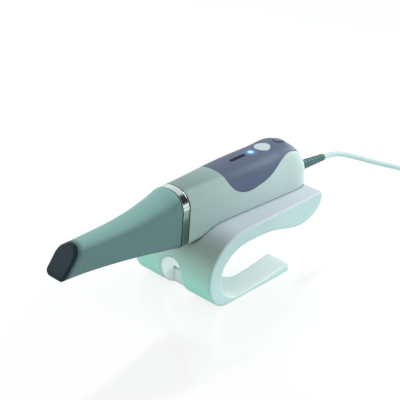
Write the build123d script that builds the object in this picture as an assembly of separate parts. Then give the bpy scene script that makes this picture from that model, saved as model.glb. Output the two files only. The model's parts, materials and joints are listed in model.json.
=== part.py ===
from build123d import *
import math
import os
from collections import namedtuple

# Intraoral scanner lying in its cradle, with its lead.
# Sizes are in millimetres. +X runs from the nose to the rear, +Z is up, the surface it stands on is Z = 0.

# Handpiece lengths, from the nose back
TIP_LENGTH = 104.0
COLLAR_LENGTH = 8.0
BODY_LENGTH = 131.2

# Casing section and its domed rear end
BODY_HEIGHT = 43.1
COLLAR_HALF_WIDTH = 16.4
BODY_HALF_WIDTH = 23.4
COLLAR_SHOULDER_RADIUS = 14.0
BODY_SHOULDER_RADIUS = 13.0
REAR_SHOULDER_RADIUS = 19.0
ROUNDER_FROM = 0.45
BELLY_RADIUS = 6.0
TOP_CROWN = 5.4
REAR_CROWN = 9.6
COLLAR_RAKE = 5.0
DOME_LENGTH = 21.5
REAR_FACE_SHARE = 0.31
REAR_DROP = 7.8
CASING_WALL = 2.2
LEAST_CORNER = 0.5
STRAIGHT_SHARES = (0.15, 0.3, 0.45, 0.6, 0.75, 0.9)
DOME_SHARES = (0.0, 0.2, 0.4, 0.6, 0.8, 0.9, 1.0)

# Tip: flared at the root, with a slanted end that carries the mirror
TIP_END_RISE = 13.0
TIP_END_DROP = 7.4
TIP_END_HALF_WIDTH = 9.3
TIP_SHOULDER_RADIUS = 8.0
TIP_BELLY_RADIUS = 4.0
FLARE_LENGTH = 63.5
FLARE_POWER = 2.35
TAPER_POWER = 1.56
TIP_SHARES = (0.0, 0.06, 0.13, 0.21, 0.3, 0.41, 0.53, 0.67, 0.83, 1.0)
TIP_WALL = 1.6
SLANT_ANGLE = 50.0
NOSE_HEIGHT = 3.0
NOSE_ROUND = 7.5
NOSE_OVERRUN = 5.0
CAP_THICKNESS = 2.5
CAP_EDGE_ROUND = 1.4
MIRROR_THICKNESS = 1.5
WINDOW_LENGTH = 15.0
WINDOW_WIDTH = 11.0
WINDOW_FROM_NOSE = 10.0

# Collar and the snout that the tip slides on
COLLAR_WALL = 1.5
COLLAR_GAP = 0.8
COLLAR_EDGE_ROUND = 0.5
SNOUT_LENGTH = 36.0
SNOUT_WALL = 2.0
SNOUT_FLANGE = 4.0
GLASS_THICKNESS = 1.5
GLASS_RECESS = 1.0

# Clearances
REST_GAP = 0.3
TIP_FIT = 0.3
SEAT_FIT = 0.1
COVER_GAP = 0.25
BUTTON_FIT = 0.1
BUTTON_RIM_GAP = 0.35
CUT_MARGIN = 1.0

# Cradle
CRADLE_WIDTH = 80.0
CRADLE_LENGTH = 124.6
CRADLE_AHEAD = 4.1
BED_HEIGHT = 55.3
BED_SINK = 9.4
BEND_HEIGHT = 22.0
FRONT_WALL = 12.3
CROWN_THICKNESS = 11.1
HEEL_DEPTH = 19.6
HEEL_ROUND = 3.0
HEEL_LEAN = 0.1
CRADLE_EDGE_ROUND = 1.0
UPPER_BEND_REACH = 37.0
LOWER_BEND_REACH = 19.0
UNDER_BED_REACH = 29.7
BASE_LENGTH = 87.0
BASE_FRONT_THICKNESS = 2.8
BASE_REAR_THICKNESS = 7.5
PRONG_WIDTH = 20.5
SLOT_FROM_FRONT = 41.0
SLOT_CORNER = 9.0
ARCH_WIDTH = 22.0
ARCH_HEIGHT = 31.0
ARCH_DEPTH = 14.0

# Slate cover on top, its edge measured back from the collar and down from the casing's crown
COVER_EDGE = [
    (40.0, -3.6), (39.0, 2.4), (41.0, 8.6), (45.6, 13.2), (52.4, 16.8), (59.6, 17.9), (70.2, 16.2),
    (81.2, 12.8), (92.6, 8.0), (102.0, 5.0), (109.4, 4.2), (115.0, 5.6), (121.0, 8.8), (128.0, 12.9),
]

# Controls, measured forward from the rear end
REAR_BUTTON_FROM_REAR = 18.3
SCAN_BUTTON_FROM_REAR = 37.5
LIGHT_FROM_REAR = 50.4
DISPLAY_FROM_REAR = 64.9
SCAN_BUTTON_RADIUS = 6.4
SCAN_BUTTON_FLANGE = 1.2
REAR_BUTTON_RADIUS = 4.2
BEZEL_WIDTH = 1.1
BUTTON_PROUD = 0.5
BUTTON_TRAVEL = 1.0
LIGHT_RADIUS = 2.4
DISPLAY_LENGTH = 16.0
DISPLAY_WIDTH = 3.6
STEM_RADIUS = 2.5

# Boards and small parts
BOARD_THICKNESS = 1.6
BUTTON_BOARD_RISE = 7.2
BUTTON_BOARD_WIDTH = 16.0
BUTTON_BOARD_GAP = 2.6
BUTTON_BOARD_REAR_FROM_REAR = 12.0
SWITCH_SIZE = 6.0
SWITCH_HEIGHT = 3.5
PLUNGER_RADIUS = 1.6
PLUNGER_HEIGHT = 1.0
LED_SIZE = 2.6
LED_HEIGHT = 1.2
POST_RADIUS = 2.0
POST_SPREAD = 11.0
POST_END_MARGIN = 4.0
REAR_POST_FROM_REAR = 26.2
SCREW_RADIUS = 1.0
SCREW_HEAD_RADIUS = 1.9
SCREW_HEAD_HEIGHT = 1.4
SCREW_GRIP = 2.4
SCREW_DRIVE_SPAN = 2.3
SCREW_DRIVE_SLOT = 0.35
SCREW_TIP_GAP = 0.5

# Optical bench and what stands on it
BENCH_THICKNESS = 3.0
BENCH_WIDTH = 24.0
BENCH_LENGTH = 100.0
BENCH_GAP = 3.0
BOSS_HEIGHT = 2.0
BOSS_RADIUS = 3.2
BOSS_INSET = 5.0
BOSS_SPREAD = 18.0
BARREL_BENCH_GAP = 3.3
BARREL_WALL = 1.5
BARREL_LENGTH = 34.0
SADDLE_LENGTH = 12.0
SADDLE_WIDTH = 20.0
SADDLE_FROM_FRONT = 11.0
LENS_THICKNESS = 4.0
LENS_BULGE = 1.8
LENS_RECESS = 3.0
SPLITTER_SIZE = 15.0
SPLITTER_GAP = 3.0
SENSOR_GAP = 6.0
SENSOR_BOARD_HEADROOM = 4.5
SENSOR_SIZE = 11.0
SENSOR_THICKNESS = 2.0
PROJECTOR_GAP = 1.5
PROJECTOR_LED_SIZE = 6.0
PROJECTOR_LED_THICKNESS = 1.8
PROJECTOR_HEADROOM = 12.5
PROJECTOR_MARGIN = 1.55
SINK_BASE = 1.5
SINK_DEPTH = 3.2
SINK_FINS = 5
SINK_FIN_THICKNESS = 1.4
MAIN_BOARD_GAP = 5.0
MAIN_BOARD_WIDTH = 22.0
STANDOFF_HEIGHT = 4.0
STANDOFF_RADIUS = 2.2
STANDOFF_INSET = 3.2
PROCESSOR_SIZE = 14.0
PROCESSOR_THICKNESS = 1.8
CONNECTOR_LENGTH = 9.0
CONNECTOR_WIDTH = 11.0
CONNECTOR_HEIGHT = 6.0

# Lead
GLAND_RADIUS = 6.0
GLAND_LENGTH = 7.0
GLAND_OUTSIDE = 3.0
LEAD_BELOW_MIDDLE = 2.0
LEAD_DROOP = 4.5
BOOT_LENGTH = 35.0
BOOT_ROOT_RADIUS = 4.4
BOOT_END_RADIUS = 2.8
BOOT_GROOVES = 6
BOOT_GROOVE_WIDTH = 1.2
BOOT_GROOVE_DEPTH = 0.45
CORD_DIAMETER = 4.3
TAIL_DIAMETER = 3.8
TAIL_GAP = 0.6
LEAD_STRAIGHT = 16.0
ARC_SHARE = 0.45

# Where the lead falls from the strain relief to the floor
LEAD_FALL = [
    (194.3, -4.5, 45.0), (216.3, -15.5, 34.5), (239.3, -26.5, 25.0),
    (259.3, -36.0, 13.0), (276.3, -44.5, 5.2),
]

# Coil of the put-away lead, its tie and the plug
COIL_RADIUS = 23.0
COIL_COLUMNS = 3
COIL_LAYERS = 4
COIL_CENTRE = (313.3, -30.0)
COIL_ENTRY_ANGLE = 240.0
COIL_APPROACH = 9.0
TIE_ANGLE = 100.0
TIE_WIDTH = 8.0
TIE_THICKNESS = 1.2
TIE_ROUND = 1.8
# The far end's way down: degrees round the coil, distance outside its outer turn, share of the fall
END_STEPS = [
    (0.0, 0.0, 0.0), (26.0, 2.0, 0.12), (52.0, 5.3, 0.445),
    (78.0, 6.8, 0.84), (104.0, 8.8, 1.0), (122.0, 11.8, 1.0),
]
PLUG_LENGTH = 32.0
PLUG_WIDTH = 15.0
PLUG_HEIGHT = 8.0
PLUG_EDGE = 2.0
SHELL_LENGTH = 12.0
SHELL_WIDTH = 12.0
SHELL_HEIGHT = 4.5
SHELL_WALL = 0.5
TONGUE_HEIGHT = 1.8

# Places worked out from the sizes above
HANDPIECE_LENGTH = TIP_LENGTH + COLLAR_LENGTH + BODY_LENGTH
NOSE_X = -HANDPIECE_LENGTH / 2
REAR_X = HANDPIECE_LENGTH / 2
COLLAR_FRONT_X = NOSE_X + TIP_LENGTH
COLLAR_REAR_X = COLLAR_FRONT_X + COLLAR_LENGTH
BELLY_Z = BED_HEIGHT - BED_SINK
AXIS_Z = BELLY_Z + BODY_HEIGHT / 2
CROWN_Z = BELLY_Z + BODY_HEIGHT
REAR_Z = AXIS_Z - REAR_DROP
CRADLE_FRONT_X = COLLAR_REAR_X - CRADLE_AHEAD
CRADLE_REAR_X = CRADLE_FRONT_X + CRADLE_LENGTH
TIP_BOTTOM_Z = AXIS_Z - TIP_END_DROP
BENCH_BOTTOM_Z = BELLY_Z + CASING_WALL + BOSS_HEIGHT
BENCH_TOP_Z = BENCH_BOTTOM_Z + BENCH_THICKNESS
SENSOR_BOARD_HEIGHT = CROWN_Z - CASING_WALL - SENSOR_BOARD_HEADROOM - BENCH_TOP_Z
PROJECTOR_BOARD_LENGTH = SPLITTER_SIZE + 2 * PROJECTOR_MARGIN
PROJECTOR_BOARD_REACH = BODY_HEIGHT / 2 - PROJECTOR_HEADROOM
BARREL_RADIUS = AXIS_Z - BENCH_TOP_Z - BARREL_BENCH_GAP
BENCH_FRONT_X = COLLAR_REAR_X + SNOUT_FLANGE + BENCH_GAP
BENCH_REAR_X = BENCH_FRONT_X + BENCH_LENGTH
BARREL_FRONT_X = COLLAR_REAR_X + SNOUT_FLANGE / 2
BARREL_REAR_X = BARREL_FRONT_X + BARREL_LENGTH
SPLITTER_X = BARREL_REAR_X + SPLITTER_GAP + SPLITTER_SIZE / 2
SENSOR_BOARD_X = SPLITTER_X + SPLITTER_SIZE / 2 + SENSOR_GAP
MAIN_BOARD_FRONT_X = SENSOR_BOARD_X + BOARD_THICKNESS + MAIN_BOARD_GAP
MAIN_BOARD_TOP_Z = BENCH_TOP_Z + STANDOFF_HEIGHT + BOARD_THICKNESS
BUTTON_BOARD_Z = AXIS_Z + BUTTON_BOARD_RISE
BUTTON_BOARD_FRONT_X = SENSOR_BOARD_X + BOARD_THICKNESS + BUTTON_BOARD_GAP
BUTTON_BOARD_REAR_X = REAR_X - BUTTON_BOARD_REAR_FROM_REAR
PLUNGER_TOP_Z = BUTTON_BOARD_Z + SWITCH_HEIGHT + PLUNGER_HEIGHT
BUTTON_FOOT_Z = PLUNGER_TOP_Z + BUTTON_TRAVEL + BUTTON_FIT
SCAN_BUTTON_X = REAR_X - SCAN_BUTTON_FROM_REAR
REAR_BUTTON_X = REAR_X - REAR_BUTTON_FROM_REAR
LIGHT_X = REAR_X - LIGHT_FROM_REAR
DISPLAY_X = REAR_X - DISPLAY_FROM_REAR
COIL_BOTTOM_Z = TIE_THICKNESS + SEAT_FIT
COIL_HALF_BREADTH = COIL_COLUMNS * CORD_DIAMETER / 2
COIL_HEIGHT = COIL_LAYERS * CORD_DIAMETER
COIL_OUTER_TURN = COIL_RADIUS + COIL_HALF_BREADTH - CORD_DIAMETER / 2

LEAD_AXIS = Vector(math.cos(math.radians(LEAD_DROOP)), 0, -math.sin(math.radians(LEAD_DROOP)))
LEAD_ROOT = Vector(REAR_X, 0, REAR_Z - LEAD_BELOW_MIDDLE)
BOOT_END = LEAD_ROOT + LEAD_AXIS * (GLAND_OUTSIDE + BOOT_LENGTH)

RAKE_RUN = BODY_HEIGHT * math.tan(math.radians(COLLAR_RAKE))

ON_FOOT = (Align.CENTER, Align.CENTER, Align.MIN)

Station = namedtuple("Station", "x bottom top half_width shoulder belly crown")


def section(station, inset):
    """Upright section of the handpiece at a station, moved in by inset.

    It has a crowned top, straight sides and rounded corners. The shoulder is a circle that touches
    the crown's circle from inside and the straight side.
    """
    width = station.half_width - inset
    height = (station.top - station.bottom) / 2 - inset
    shoulder = station.shoulder - inset
    belly = max(station.belly - inset, LEAST_CORNER)
    crown_radius = (width ** 2 + station.crown ** 2) / (2 * station.crown)
    reach = crown_radius - shoulder
    rise = math.sqrt(reach ** 2 - (width - shoulder) ** 2)
    shoulder_z = height - crown_radius + rise
    sweep_angle = math.degrees(math.atan2(rise, width - shoulder))
    crown_y = (width - shoulder) * crown_radius / reach
    crown_z = height - crown_radius + rise * crown_radius / reach
    outline = Wire([
        Line((belly - width, -height), (width - belly, -height)),
        CenterArc((width - belly, belly - height), belly, 270, 90),
        Line((width, belly - height), (width, shoulder_z)),
        CenterArc((width - shoulder, shoulder_z), shoulder, 0, sweep_angle),
        ThreePointArc((crown_y, crown_z), (0, height), (-crown_y, crown_z)),
        CenterArc((shoulder - width, shoulder_z), shoulder, 180 - sweep_angle, sweep_angle),
        Line((-width, shoulder_z), (-width, belly - height)),
        CenterArc((belly - width, belly - height), belly, 180, 90),
    ])
    middle = (station.x, 0, (station.bottom + station.top) / 2)
    return Plane(middle, x_dir=(0, 1, 0), z_dir=(1, 0, 0)) * Face(outline)


def raked_plane(x):
    """Plane across the handpiece that leans back by the collar's rake and faces the rear."""
    rake = math.radians(COLLAR_RAKE)
    return Plane((x, 0, AXIS_Z), x_dir=(0, 1, 0), z_dir=(math.cos(rake), 0, -math.sin(rake)))


def flat_crown(half_width):
    """Rise of the top over a section of this half width, in front of where the casing grows rounder."""
    return TOP_CROWN * half_width / BODY_HALF_WIDTH


def collar_station(x):
    """The section that the tip's root, the collar and the casing's mouth share."""
    return Station(
        x, BELLY_Z, CROWN_Z, COLLAR_HALF_WIDTH, COLLAR_SHOULDER_RADIUS, BELLY_RADIUS,
        flat_crown(COLLAR_HALF_WIDTH),
    )


def collar_prism(x, length, inset):
    """Straight run of the collar's section between two raked planes."""
    prism = extrude(section(collar_station(x - RAKE_RUN), inset), amount=length + 2 * RAKE_RUN, dir=(1, 0, 0))
    prism = split(prism, bisect_by=raked_plane(x), keep=Keep.TOP)
    return split(prism, bisect_by=raked_plane(x + length), keep=Keep.BOTTOM)


def casing_stations(inset):
    """Stations of the casing: it widens slowly from the collar, grows rounder on top and closes in a dome."""
    straight = BODY_LENGTH - DOME_LENGTH
    stations = [collar_station(COLLAR_REAR_X - RAKE_RUN)]
    for share in STRAIGHT_SHARES:
        round_share = max(share - ROUNDER_FROM, 0) / (1 - ROUNDER_FROM)
        rounder = round_share ** 2 * (3 - 2 * round_share)
        half_width = COLLAR_HALF_WIDTH + share * (BODY_HALF_WIDTH - COLLAR_HALF_WIDTH)
        shoulder = COLLAR_SHOULDER_RADIUS + share * (BODY_SHOULDER_RADIUS - COLLAR_SHOULDER_RADIUS)
        stations.append(Station(
            COLLAR_REAR_X + share * straight, BELLY_Z, CROWN_Z, half_width,
            shoulder + rounder * (REAR_SHOULDER_RADIUS - BODY_SHOULDER_RADIUS), BELLY_RADIUS,
            flat_crown(half_width) + rounder * (REAR_CROWN - TOP_CROWN),
        ))
    for share in DOME_SHARES:
        shrink = math.sqrt(1 - (1 - REAR_FACE_SHARE ** 2) * share ** 2)
        middle = AXIS_Z - REAR_DROP * share ** 2
        stations.append(Station(
            REAR_X - DOME_LENGTH * (1 - share) - inset * share,
            middle - shrink * BODY_HEIGHT / 2, middle + shrink * BODY_HEIGHT / 2,
            BODY_HALF_WIDTH * shrink, REAR_SHOULDER_RADIUS * shrink + inset * (1 - shrink) / 2,
            BELLY_RADIUS * shrink + inset * (1 - shrink), REAR_CROWN * shrink,
        ))
    return stations


def casing(inset):
    """The casing as one solid behind the collar, moved in by inset, or out where inset is negative."""
    blank = loft([section(station, inset) for station in casing_stations(inset)])
    return split(blank, bisect_by=raked_plane(COLLAR_REAR_X), keep=Keep.TOP)


def tip_station(distance):
    """Station of the tip at a distance in front of the collar: the top flares, belly and sides taper."""
    flare = max(1 - distance / FLARE_LENGTH, 0) ** FLARE_POWER
    taper = max(1 - distance / (TIP_LENGTH + NOSE_OVERRUN), 0) ** TAPER_POWER
    if distance < 0:
        return collar_station(COLLAR_FRONT_X - distance)
    half = BODY_HEIGHT / 2
    half_width = TIP_END_HALF_WIDTH + (COLLAR_HALF_WIDTH - TIP_END_HALF_WIDTH) * taper
    return Station(
        COLLAR_FRONT_X - distance,
        AXIS_Z - TIP_END_DROP - (half - TIP_END_DROP) * taper,
        AXIS_Z + TIP_END_RISE + (half - TIP_END_RISE) * flare,
        half_width,
        TIP_SHOULDER_RADIUS + (COLLAR_SHOULDER_RADIUS - TIP_SHOULDER_RADIUS) * taper,
        TIP_BELLY_RADIUS + (BELLY_RADIUS - TIP_BELLY_RADIUS) * taper,
        flat_crown(half_width),
    )


def tip_blank(inset):
    """The tip's form from the raked plane at the collar forward, run on past its nose."""
    length = TIP_LENGTH + NOSE_OVERRUN
    distances = [-RAKE_RUN] + [share * length for share in TIP_SHARES]
    blank = loft([section(tip_station(distance), inset) for distance in distances])
    return split(blank, bisect_by=raked_plane(COLLAR_FRONT_X), keep=Keep.BOTTOM)


def slant_plane(depth):
    """Plane of the tip's slanted end, moved back into the tip by depth."""
    slant = math.radians(SLANT_ANGLE)
    normal = Vector(-math.sin(slant), 0, math.cos(slant))
    foot = Vector(NOSE_X, 0, TIP_BOTTOM_Z + NOSE_HEIGHT)
    return Plane(foot - normal * depth, x_dir=(0, 1, 0), z_dir=normal)


def nose_profile():
    """Side view that rounds the nose under the slanted end."""
    slant = math.radians(SLANT_ANGLE)
    foot_z = TIP_BOTTOM_Z + NOSE_HEIGHT
    outline = Polyline(
        (COLLAR_REAR_X, BELLY_Z - NOSE_ROUND), (COLLAR_REAR_X, foot_z + BODY_HEIGHT),
        (NOSE_X + BODY_HEIGHT / math.tan(slant), foot_z + BODY_HEIGHT), (NOSE_X, foot_z),
        (NOSE_X, TIP_BOTTOM_Z - NOSE_ROUND), close=True,
    )
    face = make_face(outline)
    corner = face.vertices().sort_by_distance((NOSE_X, foot_z))[0]
    return extrude(Plane.XZ * fillet(corner, NOSE_ROUND), amount=CRADLE_WIDTH, both=True)


def cylinder_along_x(x, length, radius):
    """Cylinder on the optical axis, from x onwards."""
    return Plane((x, 0, AXIS_Z), z_dir=(1, 0, 0)) * Cylinder(radius, length, align=ON_FOOT)


def upright(x, y, z, height, radius):
    """Vertical cylinder that stands at z."""
    return Pos(x, y, z) * Cylinder(radius, height, align=ON_FOOT)


def block(x, y, z, length, width, height):
    """Box from x onwards and z upwards, centred on y."""
    return Pos(x, y, z) * Box(length, width, height, align=(Align.MIN, Align.CENTER, Align.MIN))


def screw(x, y, z, turn):
    """Screw whose head seats at z, with its shank down, or up where turn is 180."""
    shank = upright(0, 0, -SCREW_GRIP - BOARD_THICKNESS, SCREW_GRIP + BOARD_THICKNESS, SCREW_RADIUS)
    head = upright(0, 0, 0, SCREW_HEAD_HEIGHT, SCREW_HEAD_RADIUS)
    cross = Box(SCREW_DRIVE_SPAN, SCREW_DRIVE_SLOT, SCREW_HEAD_HEIGHT)
    cross += Box(SCREW_DRIVE_SLOT, SCREW_DRIVE_SPAN, SCREW_HEAD_HEIGHT)
    return Pos(x, y, z) * Rot(turn, 0, 0) * (shank + head - Pos(0, 0, SCREW_HEAD_HEIGHT) * cross)


def through_hole(x, y, z, thickness):
    """Clearance hole for a screw through a plate whose underside is at z."""
    return upright(x, y, z - CUT_MARGIN, thickness + 2 * CUT_MARGIN, SCREW_RADIUS + SEAT_FIT)


def stadium(x, length, width, height):
    """Vertical prism with round ends along X, from the casing's axis upwards."""
    return Pos(x, 0, AXIS_Z) * extrude(SlotOverall(length, width), amount=height)


def cradle():
    """C-shaped bed on a forked base, with an arch window in its front wall and a seat for the belly."""
    bend_z = BEND_HEIGHT
    inner_x = CRADLE_FRONT_X + FRONT_WALL
    crown_z = BED_HEIGHT - CROWN_THICKNESS
    top_x = CRADLE_FRONT_X + UPPER_BEND_REACH
    foot_x = CRADLE_FRONT_X + LOWER_BEND_REACH
    base_x = CRADLE_FRONT_X + BASE_LENGTH
    under_x = inner_x + UNDER_BED_REACH
    heel_z = BED_HEIGHT - HEEL_DEPTH
    inner_radius = bend_z - BASE_FRONT_THICKNESS
    heel_x = CRADLE_REAR_X - HEEL_DEPTH
    upper_bend = EllipticalCenterArc((top_x, bend_z), UPPER_BEND_REACH, BED_HEIGHT - bend_z, 90, arc_size=90)
    lower_bend = EllipticalCenterArc((foot_x, bend_z), LOWER_BEND_REACH, bend_z, 180, arc_size=90)
    base_bend = CenterArc((inner_x + inner_radius, bend_z), inner_radius, 180, 90)
    bed_bend = EllipticalCenterArc((under_x, bend_z), UNDER_BED_REACH, crown_z - bend_z, 90, arc_size=90)
    base_top = TangentArc(
        (inner_x + inner_radius, BASE_FRONT_THICKNESS), (base_x, BASE_REAR_THICKNESS), tangent=(1, 0))
    bow = ((under_x + heel_x) / 2, (crown_z + heel_z) / 2 + HEEL_ROUND / 2)
    underside = Spline(
        (under_x, crown_z), bow, (heel_x, heel_z), (CRADLE_REAR_X, BED_HEIGHT - HEEL_ROUND),
        tangents=[(1, 0), (HEEL_LEAN, 1)],
    )
    profile = make_face([
        Line((CRADLE_REAR_X, BED_HEIGHT), (top_x, BED_HEIGHT)), upper_bend, lower_bend,
        Line((foot_x, 0), (base_x, 0)), Line((base_x, 0), (base_x, BASE_REAR_THICKNESS)), base_top, base_bend,
        bed_bend, underside, Line((CRADLE_REAR_X, BED_HEIGHT - HEEL_ROUND), (CRADLE_REAR_X, BED_HEIGHT)),
    ])
    for corner in ((CRADLE_REAR_X, BED_HEIGHT), (base_x, BASE_REAR_THICKNESS)):
        profile = fillet(profile.vertices().sort_by_distance(corner)[0], CRADLE_EDGE_ROUND)
    stand = extrude(Plane.XZ * profile, amount=CRADLE_WIDTH / 2, both=True)
    stand = fillet(stand.faces().filter_by(Plane.XZ).edges(), CRADLE_EDGE_ROUND)
    slot_width = CRADLE_WIDTH - 2 * PRONG_WIDTH
    slot_start = CRADLE_FRONT_X + SLOT_FROM_FRONT
    slot = Pos(slot_start, 0, 0) * RectangleRounded(
        CRADLE_LENGTH, slot_width, SLOT_CORNER, align=(Align.MIN, Align.CENTER))
    stand -= extrude(slot, amount=BASE_REAR_THICKNESS * 2, both=True)
    arch_half = ARCH_WIDTH / 2
    spring_z = ARCH_HEIGHT - arch_half
    arch = make_face([
        Line((-arch_half, -CUT_MARGIN), (arch_half, -CUT_MARGIN)),
        Line((arch_half, -CUT_MARGIN), (arch_half, spring_z)),
        ThreePointArc((arch_half, spring_z), (0, ARCH_HEIGHT), (-arch_half, spring_z)),
        Line((-arch_half, spring_z), (-arch_half, -CUT_MARGIN)),
    ])
    mouth = Plane((CRADLE_FRONT_X - CUT_MARGIN, 0, 0), x_dir=(0, 1, 0), z_dir=(1, 0, 0))
    stand -= extrude(mouth * arch, amount=ARCH_DEPTH + CUT_MARGIN)
    return stand - casing(-REST_GAP)


def rim_edges(faces):
    """Edges that only one of the faces has, which together are the faces' common rim."""
    edges = [edge for face in faces for edge in face.edges()]
    return [edge for edge in edges if sum(edge.is_same(other) for other in edges) == 1]


def tip_parts():
    """Sleeve, end cap, mirror and window of the tip."""
    form = tip_blank(0) & nose_profile()
    bore = split(tip_blank(TIP_WALL), bisect_by=slant_plane(CAP_THICKNESS), keep=Keep.BOTTOM)
    cap = split(form, bisect_by=slant_plane(CAP_THICKNESS), keep=Keep.TOP)
    outward = Axis((0, 0, 0), slant_plane(0).z_dir)
    front = cap.faces().filter_by(slant_plane(0)).sort_by(outward)[-1:]
    front += cap.faces().filter_by(GeomType.CYLINDER) + cap.faces().filter_by(Plane.YZ)
    cap = fillet(rim_edges(front), CAP_EDGE_ROUND)
    sleeve = split(form, bisect_by=slant_plane(CAP_THICKNESS), keep=Keep.BOTTOM) - bore
    mirror = split(tip_blank(TIP_WALL + TIP_FIT), bisect_by=slant_plane(CAP_THICKNESS), keep=Keep.BOTTOM)
    mirror = split(mirror, bisect_by=slant_plane(CAP_THICKNESS + MIRROR_THICKNESS), keep=Keep.TOP)
    window_x = NOSE_X + WINDOW_FROM_NOSE
    window_depth = TIP_BOTTOM_Z + TIP_WALL + CUT_MARGIN - BELLY_Z
    opening = block(window_x, 0, BELLY_Z, WINDOW_LENGTH, WINDOW_WIDTH, window_depth)
    pane_length = WINDOW_LENGTH - 2 * SEAT_FIT
    pane = block(window_x + SEAT_FIT, 0, BELLY_Z, pane_length, WINDOW_WIDTH - 2 * SEAT_FIT, window_depth)
    return {
        "tip_sleeve": sleeve - opening,
        "tip_end_cap": cap,
        "tip_mirror": mirror,
        "tip_window": sleeve & pane,
    }


def snout_nose(inset):
    """The snout inside the tip, following the tip's bore."""
    return split(tip_blank(inset), bisect_by=Plane.YZ.offset(COLLAR_FRONT_X - SNOUT_LENGTH), keep=Keep.TOP)


def nose_parts():
    """Collar ring, snout and the snout's glass."""
    ring_x = COLLAR_FRONT_X + COLLAR_GAP
    ring_length = COLLAR_LENGTH - 2 * COLLAR_GAP
    ring = collar_prism(ring_x, ring_length, 0)
    ring = fillet(ring.faces().filter_by(raked_plane(0)).edges(), COLLAR_EDGE_ROUND)
    ring -= collar_prism(ring_x, ring_length, COLLAR_WALL)
    outside = TIP_WALL + TIP_FIT
    inside = outside + SNOUT_WALL
    snout = collar_prism(COLLAR_REAR_X, SNOUT_FLANGE, CASING_WALL + SEAT_FIT)
    snout += collar_prism(COLLAR_FRONT_X, COLLAR_LENGTH, outside) + snout_nose(outside)
    snout -= collar_prism(COLLAR_FRONT_X, COLLAR_LENGTH, inside) + snout_nose(inside)
    snout -= cylinder_along_x(COLLAR_REAR_X - SNOUT_FLANGE, 3 * SNOUT_FLANGE, BARREL_RADIUS + SEAT_FIT)
    glass_x = COLLAR_FRONT_X - SNOUT_LENGTH + GLASS_RECESS
    glass = snout_nose(inside + SEAT_FIT) & block(
        glass_x, 0, BELLY_Z, GLASS_THICKNESS, 2 * BODY_HALF_WIDTH, BODY_HEIGHT)
    return {"collar_ring": ring, "snout": snout, "snout_glass": glass}


def cover_prism():
    """Side-view region of the slate cover, run across the handpiece."""
    points = [(COLLAR_REAR_X + back, CROWN_Z - down) for back, down in COVER_EDGE]
    top = AXIS_Z + BODY_HEIGHT
    outline = Polyline(points[-1], (points[-1][0], top), (points[0][0], top), points[0])
    face = make_face([Spline(points), *outline.edges()])
    return extrude(Plane.XZ * face, amount=CRADLE_WIDTH, both=True)


def boss_places():
    """Where the bench is screwed down."""
    for x in (BENCH_FRONT_X + BOSS_INSET, BENCH_REAR_X - BOSS_INSET):
        for y in (-BOSS_SPREAD / 2, BOSS_SPREAD / 2):
            yield x, y


def post_places():
    """Where the button board is screwed to the cover."""
    for x in (BUTTON_BOARD_FRONT_X + POST_END_MARGIN, REAR_X - REAR_POST_FROM_REAR):
        for y in (-POST_SPREAD / 2, POST_SPREAD / 2):
            yield x, y


def standoff_places():
    """Where the main board is screwed to the bench."""
    for x in (MAIN_BOARD_FRONT_X + STANDOFF_INSET, BENCH_REAR_X - CONNECTOR_LENGTH - STANDOFF_INSET):
        for y in (STANDOFF_INSET - MAIN_BOARD_WIDTH / 2, MAIN_BOARD_WIDTH / 2 - STANDOFF_INSET):
            yield x, y


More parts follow.
